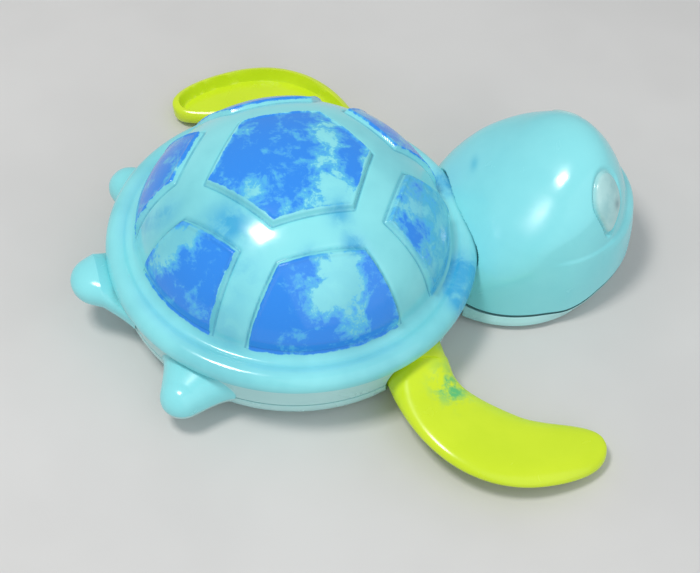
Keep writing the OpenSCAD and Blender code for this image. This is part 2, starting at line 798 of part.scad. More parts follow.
// Point on the spring's middle line, for a share of its length, moved out by d
function spring_point(s, d) = let (first = core_r + running_fit + strip_t / 2)
    polar(first + (spring_r - strip_t / 2 - first) * s + d,
        spring_end_angle - 360 * spring_turns * (1 - s));

function spring_post_at() = arbor_at + polar(spring_r + running_fit + spring_post_r, spring_end_angle);

module mainspring() color("steelblue") {
    steps = spring_steps * spring_turns;
    across(layer_3, layer_3 + spring_w) translate(arbor_at)
        polygon(concat([for (i = [0:steps]) spring_point(i / steps, strip_t / 2)],
            [for (i = [steps:-1:0]) spring_point(i / steps, -strip_t / 2)]));
}

module spring_post() color("silver") bar(spring_post_at(), spring_post_r, layer_3, case_half);

module governor_idler() color("white") difference() {
    union() {
        gear(idler_at, idler_pinion_teeth, idler_pinion_phase, layer_1, layer_2);
        gear(idler_at, idler_teeth, idler_phase, layer_2, layer_2 + gear_w);
    }
    bar(idler_at, idler_pin_r + running_fit, layer_1 - overrun, layer_3);
}

module idler_pin() color("silver") bar(idler_at, idler_pin_r, -case_half, case_half);

module governor_fly() color("white") difference() {
    union() {
        gear(fly_at, fly_teeth, fly_phase, layer_2, layer_3);
        bar(fly_at, 2 * vane_t, layer_3, layer_3 + fly_w);
        across(layer_3, layer_3 + fly_w) translate(fly_at)
            square([2 * fly_r, vane_t], center = true);
    }
    bar(fly_at, fly_pin_r + running_fit, layer_2 - overrun, layer_3 + fly_w + overrun);
}

module fly_pin() color("silver") bar(fly_at, fly_pin_r, -case_half, case_half);

// Screws that point up, their heads under the seat
module long_screws(places, seat) {
    drill(places, screw_r, seat, seat + screw_l);
    drill(places, screw_head_r, seat - screw_head_h, seat);
}

module body_screws() color("silver") long_screws(body_posts, screw_seat_z);

module jaw_screws() color("silver") long_screws(jaw_posts, jaw_seat_z);

carapace();
upper_body();
lower_body();
head_shell();
jaw();
right_flipper();
left_flipper();
flipper_axle();
axle_pinion();
right_spacer();
left_spacer();
right_axle_seal();
left_axle_seal();
gearbox_case();
gearbox_cover();
gearbox_screws();
mount_screws();
spring_arbor();
drive_gear();
mainspring();
spring_post();
governor_idler();
idler_pin();
governor_fly();
fly_pin();
body_screws();
jaw_screws();
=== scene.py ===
"""Looks of the wind-up swimming turtle: glossy mouldings, worn blue paint on the shell plates,
a pale floor and soft light, seen from the photograph's angle. Lengths are in millimetres until
a mesh is made, and angles are in degrees until they are used."""
import json
import math

import bmesh
import bpy
import numpy as np
from mathutils import Matrix, Vector


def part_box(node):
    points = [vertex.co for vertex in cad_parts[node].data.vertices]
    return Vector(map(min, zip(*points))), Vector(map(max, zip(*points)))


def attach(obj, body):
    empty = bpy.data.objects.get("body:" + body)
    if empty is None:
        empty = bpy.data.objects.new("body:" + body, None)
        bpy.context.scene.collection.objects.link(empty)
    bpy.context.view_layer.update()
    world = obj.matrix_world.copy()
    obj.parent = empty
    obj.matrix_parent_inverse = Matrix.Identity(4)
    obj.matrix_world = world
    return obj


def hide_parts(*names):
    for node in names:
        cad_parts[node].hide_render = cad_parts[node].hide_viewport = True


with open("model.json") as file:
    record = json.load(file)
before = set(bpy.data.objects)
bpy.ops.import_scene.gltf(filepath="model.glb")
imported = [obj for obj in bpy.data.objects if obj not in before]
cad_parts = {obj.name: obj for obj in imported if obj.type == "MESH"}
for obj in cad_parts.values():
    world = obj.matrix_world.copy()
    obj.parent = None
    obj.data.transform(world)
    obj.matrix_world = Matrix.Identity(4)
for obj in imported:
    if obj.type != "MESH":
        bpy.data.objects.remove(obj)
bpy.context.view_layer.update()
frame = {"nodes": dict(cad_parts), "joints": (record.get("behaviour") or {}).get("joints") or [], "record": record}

MM = 0.001


# Sizes taken from the frame


def low(node):
    return np.array(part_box(node)[0]) / MM


def high(node):
    return np.array(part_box(node)[1]) / MM


AXLE = np.array(frame["joints"][0]["pos_m"]) / MM
PARTING_Z = AXLE[2]
SHELL_R = high("carapace")[1]
SHELL_TOP = high("carapace")[2]
SEAM_Z = high("upper_body")[2]
JAW_Z = low("jaw")[2]
TAIL_REACH = -min(low("lower_body")[0], low("upper_body")[0])
FLIPPER_SPAN = high("left_flipper")[1]
HUB_IN = low("left_flipper")[1]

# Sizes of the part that its boxes in the frame don't show
BEAD_R = 3.3
BEAD_H = 4.0
DOME_R = 38.6
DOME_RISE = 2.0
PLATE_H = 0.8
WALL = 2.0
WAIST_R = 43.0
SKIRT_TOP_R = 44.2
BELLY_FLAT_R = 33.0
DOME_Z = SEAM_Z + DOME_RISE
DOME_H = SHELL_TOP - PLATE_H - DOME_Z
BEAD_AT = SHELL_R - BEAD_R
BEAD_Z = SEAM_Z + BEAD_H - BEAD_R

# Gaps of the joints between the halves of the body and between head and jaw
SEAM_GAP = 0.12
HEAD_GAP = 0.3


# Mesh helpers

# Edges that turn by more than this are drawn sharp: as a rule, and on a piece that was cut or joined
SHARP_ANGLE, CRISP_ANGLE = 38.0, 30.0
# Points nearer to each other than this, in metres, become one
WELD_M = 1e-7
# The ring nearest to the top of a dome lies just short of it, and a fan closes the skin
CROWN = 89.6


def smoothstep(low_edge, high_edge, x):
    t = np.clip((x - low_edge) / (high_edge - low_edge), 0.0, 1.0)
    return t * t * (3.0 - 2.0 * t)


def hump(x, place, width, height):
    return height * np.exp(-((x - place) / width) ** 2)


def unit(vectors):
    return vectors / np.linalg.norm(vectors, axis=-1, keepdims=True)


def loft(rings, cap_start=True, cap_end=True):
    """Vertices and faces of a skin over closed rings; a cap is a fan to the ring's middle."""
    rings = np.asarray(rings, float)
    rows, cols = rings.shape[:2]
    verts = rings.reshape(-1, 3)
    index = np.arange(rows * cols).reshape(rows, cols)
    after = np.roll(index, -1, axis=1)
    corners = np.stack([index[:-1], after[:-1], after[1:], index[1:]], axis=-1)
    faces = corners.reshape(-1, 4).tolist()
    for wanted, row, flip in ((cap_start, 0, True), (cap_end, rows - 1, False)):
        if wanted:
            middle = len(verts)
            verts = np.vstack([verts, rings[row].mean(axis=0)])
            fan = [[a, b, middle] for a, b in zip(index[row], after[row])]
            faces += [f[::-1] for f in fan] if flip else fan
    return verts, faces


def tube_loop(rings):
    """A skin over rings that close on themselves in both directions."""
    rings = np.asarray(rings, float)
    return loft(np.concatenate([rings, rings[:1]]), False, False)


def revolve(profile, columns, about="Z", centre=(0.0, 0.0)):
    """Rings of a profile of (radius, place along the axis) turned about Z or Y."""
    profile = np.asarray(profile, float)
    angle = np.linspace(0.0, 2.0 * math.pi, columns, endpoint=False)
    r = profile[:, :1]
    along = np.repeat(profile[:, 1:], columns, axis=1)
    a, b = r * np.cos(angle) + centre[0], r * np.sin(angle) + centre[1]
    return np.stack([a, b, along] if about == "Z" else [a, along, b], axis=-1)


def arc(centre, radii, start, end, steps):
    t = np.radians(np.linspace(start, end, steps))
    return np.stack([centre[0] + radii[0] * np.cos(t), centre[1] + radii[1] * np.sin(t)], axis=-1)


def bezier(points, t):
    p = np.asarray(points, float)
    t = np.asarray(t, float)[:, None]
    handles = 3 * t * (1 - t) ** 2 * p[1] + 3 * t * t * (1 - t) * p[2]
    return (1 - t) ** 3 * p[0] + handles + t ** 3 * p[3]


def make_object(name, parts, sharp_angle=SHARP_ANGLE):
    """One mesh object out of (vertices, faces) parts, welded, with its normals outside."""
    verts, faces = [], []
    for part_verts, part_faces in parts:
        offset = sum(len(v) for v in verts)
        verts.append(np.asarray(part_verts, float) * MM)
        faces += [[i + offset for i in f] for f in part_faces]
    mesh = bpy.data.meshes.new(name)
    mesh.from_pydata(np.vstack(verts).tolist(), [], faces)
    work = bmesh.new()
    work.from_mesh(mesh)
    bmesh.ops.remove_doubles(work, verts=work.verts, dist=WELD_M)
    bmesh.ops.recalc_face_normals(work, faces=work.faces)
    work.to_mesh(mesh)
    work.free()
    mesh.shade_smooth()
    mesh.set_sharp_from_angle(angle=math.radians(sharp_angle))
    obj = bpy.data.objects.new(name, mesh)
    bpy.context.scene.collection.objects.link(obj)
    return obj


def boolean(obj, tool, operation):
    """Joins or cuts obj with tool, keeps the result as plain mesh and deletes the tool."""
    change = obj.modifiers.new("change", "BOOLEAN")
    change.operation = operation
    change.solver = "EXACT"
    change.object = tool
    shaped = obj.evaluated_get(bpy.context.evaluated_depsgraph_get())
    old, new = obj.data, bpy.data.meshes.new_from_object(shaped)
    obj.modifiers.clear()
    obj.data = new
    new.name = obj.name
    bpy.data.meshes.remove(old)
    bpy.data.objects.remove(tool)
    obj.data.shade_smooth()
    obj.data.set_sharp_from_angle(angle=math.radians(CRISP_ANGLE))


def point_values(obj, name, values):
    layer = obj.data.attributes.new(name, "FLOAT", "POINT")
    layer.data.foreach_set("value", np.asarray(values, np.float32))


def places(obj):
    co = np.zeros(len(obj.data.vertices) * 3)
    obj.data.vertices.foreach_get("co", co)
    return co.reshape(-1, 3) / MM


def settle(obj, body, slot, material, *nodes):
    obj.data.materials.clear()
    obj.data.materials.append(material)
    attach(obj, body)
    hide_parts(*nodes)


def inside_distance(points, polygon):
    """Distance from each point to a polygon's edge, positive inside."""
    a = np.asarray(polygon, float)
    nearest = np.full(len(points), np.inf)
    inside = np.zeros(len(points), bool)
    for p, q in zip(a, np.roll(a, -1, axis=0)):
        edge = q - p
        along = np.clip(((points - p) @ edge) / (edge @ edge), 0.0, 1.0)
        nearest = np.minimum(nearest, np.linalg.norm(points - p - along[:, None] * edge, axis=1))
        if edge[1] != 0.0:
            crosses = (p[1] > points[:, 1]) != (q[1] > points[:, 1])
            inside ^= crosses & (points[:, 0] < p[0] + (points[:, 1] - p[1]) / edge[1] * edge[0])
    return np.where(inside, nearest, -nearest)


def spots(points, table):
    """Sum of soft round spots, each with its place in plan, spread and strength."""
    total = np.zeros(len(points))
    for x, y, spread, strength in table:
        off = (points[:, 0] - x) ** 2 + (points[:, 1] - y) ** 2
        total += strength * np.exp(-off / (2 * spread ** 2))
    return total


# Colours and materials


def srgb(r, g, b):
    def channel(c):
        c /= 255.0
        return c / 12.92 if c <= 0.04045 else ((c + 0.055) / 1.055) ** 2.4
    return (channel(r), channel(g), channel(b), 1.0)


AQUA = srgb(143, 230, 236)
AQUA_SHADE = srgb(132, 222, 230)
SHELL_SHADE = srgb(120, 206, 216)
PALE = srgb(182, 230, 230)
PALE_SHADE = srgb(168, 219, 220)
DEEP_BLUE = srgb(46, 140, 238)
MID_BLUE = srgb(74, 166, 240)
THIN_BLUE = srgb(84, 188, 232)
FILM_BLUE = srgb(66, 172, 218)
# Colour of the darker line in the groove beside the plates: painted shade of the groove, with some grime
SMUDGE_BLUE = srgb(70, 190, 218)
GROOVE_SHADE_AND_GRIME = srgb(62, 150, 182)
BARE_EYE = srgb(178, 222, 222)
BARE_EYE_SHADE = srgb(158, 208, 210)
PUPIL = srgb(64, 88, 106)
LIME = srgb(216, 239, 42)
LIME_SHADE = srgb(206, 232, 34)
SMUDGE_GREEN = srgb(96, 196, 120)

PLASTIC_IOR, MATT_IOR = 1.5, 1.48
# Size of the soft clouds in a colour, and the noise limits between its two tones
CLOUD_MM, CLOUD = 32.0, (0.35, 0.7)
DRAWN_TONES = (0.3, 0.7)
# Noise limits, then how much smoother and how much rougher a face gets between them
WIPED = ((0.3, 0.75), (0.06, 0.1))
DRAWN = ((0.25, 0.75), (0.08, 0.12))
MATT = ((0.3, 0.7), (0.08, 0.1))

# Spreads for the paint on the shell: two limits, then what they become if not zero and one.
# Its frayed edge, its worn patches and specks, where it is left, thick and deep in colour,
# the patches of its thin films, and the darker line beside the plates: painted groove shade with some grime
EDGE_FRAY = (0.3, 0.7, -0.3, 0.3)
PAINT_EDGE = (0.4, 0.62)
PATCHES = (0.2, 0.8, 0.12, 0.88)
SPECKS = (0.3, 0.7, -0.07, 0.07)
PAINT_LEFT = (0.42, 0.6)
PAINT_THICK = (0.5, 0.78)
PAINT_DEEP = (0.62, 0.86)
FILM_PATCHES = (0.36, 0.58, 0.4, 1.0)
GROOVE_SHADE_AND_GRIME_REACH = (0.42, 0.08)
GROOVE_SHADE_AND_GRIME_PATCHES = (0.3, 0.6, 0.25, 0.6)

# Where the limbs' colour starts outside the wall, where an eye's starts, and a smudge's patches
LIMB_EDGE = (0.02, 0.2)
EYE_EDGE = (1.06, 0.86)
SMUDGE_PATCHES = (0.42, 0.6)


class Shader:
    """A node material with short calls for the nodes used here."""

    def __init__(self, name, **uniform):
        self.material = bpy.data.materials.new(name)
        self.material.use_nodes = True
        self.tree = self.material.node_tree
        self.bsdf = self.tree.nodes["Principled BSDF"]
        for socket, value in uniform.items():
            self.bsdf.inputs[socket].default_value = value
        self.coords = self.tree.nodes.new("ShaderNodeTexCoord").outputs["Object"]

    def link(self, output, socket):
        self.tree.links.new(output, self.bsdf.inputs[socket])

    def feed(self, socket, value):
        """Links a node's output to a socket, or sets the socket to a plain value."""
        if isinstance(value, bpy.types.NodeSocket):
            self.tree.links.new(value, socket)
        else:
            socket.default_value = value

    def node(self, kind, inputs, output=0, **settings):
        made = self.tree.nodes.new(kind)
        for key, value in settings.items():
            setattr(made, key, value)
        for key, value in inputs.items():
            self.feed(made.inputs[key], value)
        return made.outputs[output]

    def noise(self, size_mm, detail=4.0, roughness=0.55, distortion=0.0):
        return self.node("ShaderNodeTexNoise", {
            "Vector": self.coords, "Scale": 1.0 / (size_mm * MM), "Detail": detail,
            "Roughness": roughness, "Distortion": distortion})

    def attribute(self, name):
        return self.node("ShaderNodeAttribute", {}, "Fac", attribute_name=name)

    def spread(self, value, from_low, from_high, to_low=0.0, to_high=1.0):
        return self.node("ShaderNodeMapRange", {
            "Value": value, "From Min": from_low, "From Max": from_high,
            "To Min": to_low, "To Max": to_high}, interpolation_type="SMOOTHSTEP")

    def math(self, operation, a, b=0.0):
        return self.node("ShaderNodeMath", {0: a, 1: b}, operation=operation)

    def mix_colours(self, factor, a, b):
        made = self.tree.nodes.new("ShaderNodeMix")
        made.data_type = "RGBA"
        colour_inputs = [s for s in made.inputs if s.type == "RGBA"]
        for socket, value in zip([made.inputs[0]] + colour_inputs, (factor, a, b)):
            self.feed(socket, value)
        return [s for s in made.outputs if s.type == "RGBA"][0]

    def clouded(self, main, shade, size_mm=CLOUD_MM):
        """Soft clouds of two tones."""
        return self.mix_colours(self.spread(self.noise(size_mm), *CLOUD), main, shade)

    def roughen(self, noise, middle, limits, change):
        """Roughness about a middle value, smoother and rougher with a noise."""
        smoother, rougher = change
        self.link(self.spread(noise, *limits, middle - smoother, middle + rougher), "Roughness")

    def bump(self, height, depth_mm, strength):
        self.link(self.node("ShaderNodeBump", {
            "Height": height, "Distance": depth_mm * MM, "Strength": strength}), "Normal")


def moulded(shader, colour, roughness):
    """Colour, wiped and slightly scuffed gloss, and the faint unevenness of a moulded face."""
    shader.link(colour, "Base Color")
    wipe = shader.noise(size_mm=14.0, detail=5.0, roughness=0.6, distortion=0.6)
    shader.roughen(wipe, roughness, *WIPED)
    shader.bump(shader.noise(size_mm=2.6, detail=3.0), depth_mm=0.02, strength=0.35)
    return shader.material


def shell_material():
    """Aqua plastic with blue paint on the plates, rubbed through in patches."""
    shader = Shader("shell_plastic", IOR=PLASTIC_IOR)
    plate, edge, cover, bleed = (shader.attribute(n) for n in ("plate", "edge", "cover", "bleed"))
    ragged = shader.noise(size_mm=5.5, detail=10.0, roughness=0.66, distortion=0.35)
    speck = shader.noise(size_mm=1.7, detail=3.0, roughness=0.6)
    patches = shader.math("ADD", shader.spread(ragged, *PATCHES), shader.spread(speck, *SPECKS))
    worn = shader.math("ADD", patches, cover)
    deep = shader.mix_colours(shader.spread(worn, *PAINT_DEEP), MID_BLUE, DEEP_BLUE)
    blue = shader.mix_colours(shader.spread(worn, *PAINT_THICK), THIN_BLUE, deep)
    film = shader.math("MULTIPLY", bleed, shader.spread(ragged, *FILM_PATCHES))
    filmed = shader.mix_colours(film, shader.clouded(AQUA, SHELL_SHADE), FILM_BLUE)
    # A darker line along the groove beside each plate: painted shade of the groove, with some grime in it
    beside = shader.math("ABSOLUTE", shader.math("SUBTRACT", edge, GROOVE[0]))
    groove_shade_and_grime = shader.math("MULTIPLY", shader.spread(beside, *GROOVE_SHADE_AND_GRIME_REACH),
                        shader.spread(ragged, *GROOVE_SHADE_AND_GRIME_PATCHES))
    bare = shader.mix_colours(groove_shade_and_grime, filmed, GROOVE_SHADE_AND_GRIME)
    frayed = shader.math("ADD", plate, shader.spread(ragged, *EDGE_FRAY))
    kept = shader.math("MULTIPLY", shader.spread(frayed, *PAINT_EDGE),
                       shader.spread(worn, *PAINT_LEFT))
    return moulded(shader, shader.mix_colours(kept, bare, blue), roughness=0.16)


def skirt_material():
    """Pale plastic on the skirt, and aqua on the legs and the tail."""
    shader = Shader("body_plastic", IOR=PLASTIC_IOR)
    limb = shader.spread(shader.attribute("limb"), *LIMB_EDGE)
    pale, aqua = shader.clouded(PALE, PALE_SHADE), shader.clouded(AQUA, AQUA_SHADE)
    return moulded(shader, shader.mix_colours(limb, pale, aqua), roughness=0.2)


def pale_material():
    """Plain pale plastic of the belly and the jaw."""
    shader = Shader("pale_plastic", IOR=PLASTIC_IOR)
    return moulded(shader, shader.clouded(PALE, PALE_SHADE), roughness=0.24)


def head_material():
    """Aqua plastic with a blue smudge; the eyes are bare and greyish, with a trace of a pupil."""
    shader = Shader("head_plastic", IOR=PLASTIC_IOR)
    eye, pupil, smudge = (shader.attribute(n) for n in ("eye", "pupil", "smudge"))
    plain = shader.mix_colours(smudge, shader.clouded(AQUA, AQUA_SHADE), SMUDGE_BLUE)
    bare = shader.mix_colours(pupil, shader.clouded(BARE_EYE, BARE_EYE_SHADE, size_mm=4.0), PUPIL)
    colour = shader.mix_colours(shader.spread(eye, *EYE_EDGE), plain, bare)
    return moulded(shader, colour, roughness=0.19)


def flipper_material():
    """Lime plastic with a green smudge."""
    shader = Shader("lime_plastic", IOR=PLASTIC_IOR)
    ragged = shader.noise(size_mm=5.0, detail=7.0, roughness=0.65)
    smudge = shader.math("MULTIPLY", shader.attribute("smudge"), shader.spread(ragged, *SMUDGE_PATCHES))
    plain = shader.clouded(LIME, LIME_SHADE, size_mm=26.0)
    return moulded(shader, shader.mix_colours(smudge, plain, SMUDGE_GREEN), roughness=0.22)


def metal(name, main, shade, roughness):
    shader = Shader(name, Metallic=1.0)
    drawn = shader.noise(size_mm=1.2, detail=6.0, roughness=0.7)
    shader.link(shader.mix_colours(shader.spread(drawn, *DRAWN_TONES), main, shade), "Base Color")
    shader.roughen(drawn, roughness, *DRAWN)
    shader.bump(shader.noise(size_mm=0.5, detail=2.0), depth_mm=0.01, strength=0.3)
    return shader.material


def moulded_matt(name, main, shade, roughness):
    shader = Shader(name, IOR=MATT_IOR)
    shader.link(shader.clouded(main, shade, size_mm=6.0), "Base Color")
    shader.roughen(shader.noise(size_mm=3.0), roughness, *MATT)
    shader.bump(shader.noise(size_mm=0.7, detail=3.0), depth_mm=0.03, strength=0.4)
    return shader.material


PALE_PLASTIC = pale_material()
LIME_PLASTIC = flipper_material()


# Carapace

SHELL_COLUMNS = 640
DOME_STEPS, HOLLOW_STEPS, BEAD_STEPS, INNER_STEPS = 200, 16, 44, 30
# Where the dome runs out into the hollow beside the rim, where that hollow meets the rim's bead,
# and where the bead meets the seam
DOME_FOOT, BEAD_START = 8.5, 117.0
BEAD_END = -math.degrees(math.asin((BEAD_Z - SEAM_Z) / BEAD_R))
# How far the hollow keeps the direction of the dome and that of the bead
HOLLOW_HANDLES = (2.0, 1.3)
INNER_CROWN = 89.0
HEXAGON_SHARES = [[-0.56, 0], [-0.25, -0.43], [0.25, -0.41],
                  [0.475, 0], [0.25, 0.41], [-0.25, 0.43]]
# Each side plate: radius share and angle of its two inner corners, then its two outer angles
SIDE_PLATE_SHARES = [[0.746, 168, 0.692, 133.5, 133.7, 172],
                     [0.694, 112.7, 0.694, 67.4, 62.6, 120.8],
                     [0.653, 47.6, 0.679, 9.7, 7, 44.7]]
# The side plates run out into the foot of the dome, without a step
PLATE_EDGE_SHARE = 1.05
PLATE_ARC_STEPS = 12
PLATE_FADE = (5.0, 14.0)
PLATE_STEP = (-0.1, 0.4)
# The groove beside a plate's edge and the soft lip on it: distance inside the edge, width, height
GROOVE = (-0.45, 0.34, -0.38)
LIP = (0.7, 0.32, 0.26)
# How well each plate keeps its paint: the centre plate, then pairs of a far and a near plate
# from the rear to the front
PLATE_COVER = [0.12, 0.35, 0.3, 0.25, 0.15, 0.25, -0.1]
# How much of a thin film of paint lies on each plate where the paint itself is gone
PLATE_FILM = [0.15, 0.2, 0.2, 0.15, 0.15, 0.3, 0.9]
FILM_EDGE = (-0.2, 0.5)
# The paint ends at this height, and the darker line beside the plates, painted groove shade with some grime, a
# little above it
PAINT_FOOT_Z, GROOVE_SHADE_AND_GRIME_ABOVE = 21.9, 0.4
# Distance inside a plate that is given to points where there is none
NO_PLATE = -5.0
# Rubbed and well kept spots of the paint: place on the shell in plan, spread, strength
PAINT_SPOTS = [(-13, 2, 6, 0.2), (-4, 10, 6, 0.2), (3, 13, 4, 0.1), (-3, -2, 5, 0.18),
               (-1, -10, 3, 0.15), (-10, -13, 3, 0.15), (12, -3, 2.5, 0.25), (12, -6, 2.5, 0.15),
               (9, 5, 3, -0.12), (5, -3, 1.6, -0.2), (5, -9, 2, -0.25), (7, -13, 2.5, -0.4),
               (1, -13, 2, -0.2), (-12, -8, 2.5, -0.22), (-7, -8, 2, -0.15), (16, 6, 3, -0.15),
               (1, 6, 2, -0.1), (-12, -29, 4, 0.3), (-15, -34, 4, 0.3), (-6, -27, 3, 0.15),
               (-3, -38, 3, 0.3), (3, -38, 3, 0.2), (11, -36, 3, 0.1), (11, -29, 2, 0.25),
               (13, -33, 2, 0.25), (-3, -34, 2, -0.4), (0, -33, 2.4, -0.36), (2, -30, 2.2, -0.36),
               (6, -29, 2, -0.3), (6, -33, 2.2, -0.3), (3, -35.5, 2, -0.2), (-31, -9, 2.5, -0.5),
               (-34, -9, 2, -0.4), (-28, -11, 2, -0.3), (-28, -20, 6, 0.15), (-24, 17, 2.5, -0.25),
               (-28, 10, 2, -0.15), (21, -17, 2.5, 0.35), (23, -12, 2, 0.25), (24, -21, 2.5, 0.25),
               (30, -13, 4, 0.02)]
# Thin films of paint on the dome and on the rim: place, spread, strength
PAINT_FILMS = [(-20, -12, 3.5, 0.8), (-18, -14, 2.5, 0.5), (6, -17, 2, 0.8), (8, -24, 2, 1.0),
               (-3, -25, 1.6, 0.5), (-18, -24, 3, 0.35), (-24, -30, 3, 0.3), (-34, 1, 2.5, 0.5),
               (-31, -1, 2, 0.4), (-37, 4, 2, 0.4)]
RIM_FILMS = [(38, -20, 3, 1.8), (36, -25, 3, 1.8), (35, -29, 2.5, 1.0),
             (42, 8, 2.5, 1.4), (43, 10, 2, 0.8)]


def plate_polygons():
    """Outlines in plan: the centre plate, then each side plate on the far and on the near side."""
    polygons = [np.array(HEXAGON_SHARES) * DOME_R]
    for r0, a0, r1, a1, out0, out1 in SIDE_PLATE_SHARES:
        inner = [[r * DOME_R * math.cos(math.radians(a)), r * DOME_R * math.sin(math.radians(a))]
                 for r, a in ((r0, a0), (r1, a1))]
        outer = arc((0, 0), [PLATE_EDGE_SHARE * DOME_R] * 2, out0, out1, PLATE_ARC_STEPS)
        plate = np.vstack([inner, outer])
        polygons += [plate, plate * [1.0, -1.0]]
    return polygons


def shell_profile():
    """Outer dome, the hollow beside the rim, the rim's bead and the inside, as radius and height."""
    dome = arc((0, DOME_Z), (DOME_R, DOME_H), CROWN, DOME_FOOT, DOME_STEPS)
    bead = arc((BEAD_AT, BEAD_Z), (BEAD_R, BEAD_R), BEAD_START, BEAD_END, BEAD_STEPS)
    handles = [dome[-1] + HOLLOW_HANDLES[0] * unit(dome[-1] - dome[-2]),
               bead[0] + HOLLOW_HANDLES[1] * unit(bead[0] - bead[1])]
    hollow = bezier([dome[-1], *handles, bead[0]], np.linspace(0, 1, HOLLOW_STEPS)[1:-1])
    inner = arc((0, DOME_Z), (DOME_R - WALL, DOME_H - WALL), 0.0, INNER_CROWN, INNER_STEPS)
    return np.vstack([dome, hollow, bead, [[DOME_R - WALL, SEAM_Z]], inner])


def paint_shell(obj, plates):
    """Point values that tell the shell's material where paint lies and how worn it is."""
    co = places(obj)
    flat, z = co[:, :2], co[:, 2]
    depths = np.array([inside_distance(flat, p) for p in plates])
    depth, nearest = depths.max(axis=0), depths.argmax(axis=0)
    outside = (z > DOME_Z) & (np.hypot(*flat.T) < BEAD_AT)
    painted = np.minimum(depth, z - PAINT_FOOT_Z)
    above_foot = outside & (z > PAINT_FOOT_Z + GROOVE_SHADE_AND_GRIME_ABOVE)
    on_dome = outside & (z > SEAM_Z + BEAD_H)
    on_plate = np.array(PLATE_FILM)[nearest] * smoothstep(*FILM_EDGE, painted)
    films = np.where(on_dome, spots(flat, PAINT_FILMS) + on_plate, spots(flat, RIM_FILMS))
    point_values(obj, "plate", np.where(outside, painted, NO_PLATE))
    point_values(obj, "edge", np.where(above_foot, depth, NO_PLATE))
    point_values(obj, "cover", np.array(PLATE_COVER)[nearest] + spots(flat, PAINT_SPOTS))
    point_values(obj, "bleed", np.where(z > SEAM_Z, np.clip(films, 0.0, 1.0), 0.0))


def carapace():
    rings = revolve(shell_profile(), SHELL_COLUMNS)
    dome = rings[:DOME_STEPS].reshape(-1, 3)
    plan = dome[:, :2]
    plates = plate_polygons()
    depth = np.max([inside_distance(plan, p) for p in plates], axis=0)
    rise = np.repeat(np.linspace(CROWN, DOME_FOOT, DOME_STEPS), SHELL_COLUMNS)
    lift = PLATE_H * smoothstep(*PLATE_STEP, depth) + hump(depth, *GROOVE) + hump(depth, *LIP)
    lift *= smoothstep(*PLATE_FADE, rise)
    around = np.arctan2(plan[:, 1], plan[:, 0])
    out, up = np.cos(np.radians(rise)) / DOME_R, np.sin(np.radians(rise)) / DOME_H
    normal = unit(np.stack([out * np.cos(around), out * np.sin(around), up], axis=-1))
    rings[:DOME_STEPS] = (dome + normal * lift[:, None]).reshape(DOME_STEPS, SHELL_COLUMNS, 3)
    obj = make_object("carapace_shell", [loft(rings)])
    paint_shell(obj, plates)
    settle(obj, "body", "shell_aqua", shell_material(), "carapace")


# Body, legs and tail

LEG_ANGLE, TAIL_ANGLE = 135.5, 180.0
# A limb in plan is a wedge with a round tip; its section is a flattened superellipse.
# The reach is measured from the shell's middle, and the spread is the gain in half width for
# each millimetre towards the root. The height of the widest line and the half heights above
# and below it are given at the root and at the tip
LEG = dict(reach=54.2, tip_r=5.2, spread=0.5,
           middles=(9.6, 9.2), halves_above=(6.8, 5.0), halves_below=(6.2, 4.8))
TAIL = dict(reach=TAIL_REACH, tip_r=6.6, spread=0.52,
            middles=(11.2, 15.6), halves_above=(3.2, 4.3), halves_below=(7.0, 5.4))
LIMB_COLUMNS, LIMB_STEPS, TIP_STEPS = 64, 30, 26
# The turn at which a limb's round tip is closed
TIP_END = 88.0
# A ring is left out where the parting plane takes more than this share of its half height
CUT_LIMIT = 0.97
# A limb's top climbs from under the rim: where it starts inside the rim's edge, and its slope
RIM_TUCK, RIM_RISE = 0.5, 1.1
# How much wider a limb gets where it meets the wall, and how far out that reaches
ROOT_FLARE, FLARE_REACH = 1.2, 1.6
# Roundness of a limb's section above and below its widest line
LIMB_ROUNDNESS = (2.2, 2.1)
BODY_COLUMNS = 256
BELLY_STEPS, BELLY_INNER_STEPS = 28, 16
FOOT_BEVEL = 0.25
# Radius at which the belly's skin closes about the middle
AXIS_R = 0.01
# The wells of the hubs start a little further in than the hubs and run out past the body
HUB_WELL_R, WELL_CLEAR, WELL_OVERRUN = 8.7, 0.5, 30.0
HUB_COLUMNS, PIN_COLUMNS = 96, 40
# Posts for the belly's screws, and the bores for the screws' heads
POST_R, POST_TOP_Z = 3.4, 10.0
BORE_R, BORE_TOP_Z, BORE_OVERRUN = 2.6, 5.0, 1.0
# Radius and angle of the posts at the front and at the rear
POST_PLACES = ((34.5, 29.5), (30.0, 143.0))
BODY_POSTS = [(r * math.cos(math.radians(side * a)), r * math.sin(math.radians(side * a)))
              for side in (-1, 1) for r, a in POST_PLACES]


def limb_section(width, above, below, plane, upper):
    """The part of a limb's section above or below a plane, as places across and heights from
    the widest line; None where hardly anything is left of it."""
    powers = [2.0 / n for n in LIMB_ROUNDNESS]
    cut = np.clip(plane / (above if plane > 0 else below), -1.0, 1.0)
    if abs(cut) > CUT_LIMIT and (cut > 0) == upper:
        return None
    first = math.copysign(math.asin(abs(cut) ** (1.0 / powers[0 if cut > 0 else 1])), cut)
    ends = (first, math.pi - first) if upper else (math.pi - first, 2 * math.pi + first)
    turn = np.linspace(*ends, LIMB_COLUMNS)
    power = np.where(np.sin(turn) > 0, *powers)
    across = width * np.sign(np.cos(turn)) * np.abs(np.cos(turn)) ** power
    return across, np.where(np.sin(turn) > 0, above, -below) * np.abs(np.sin(turn)) ** power


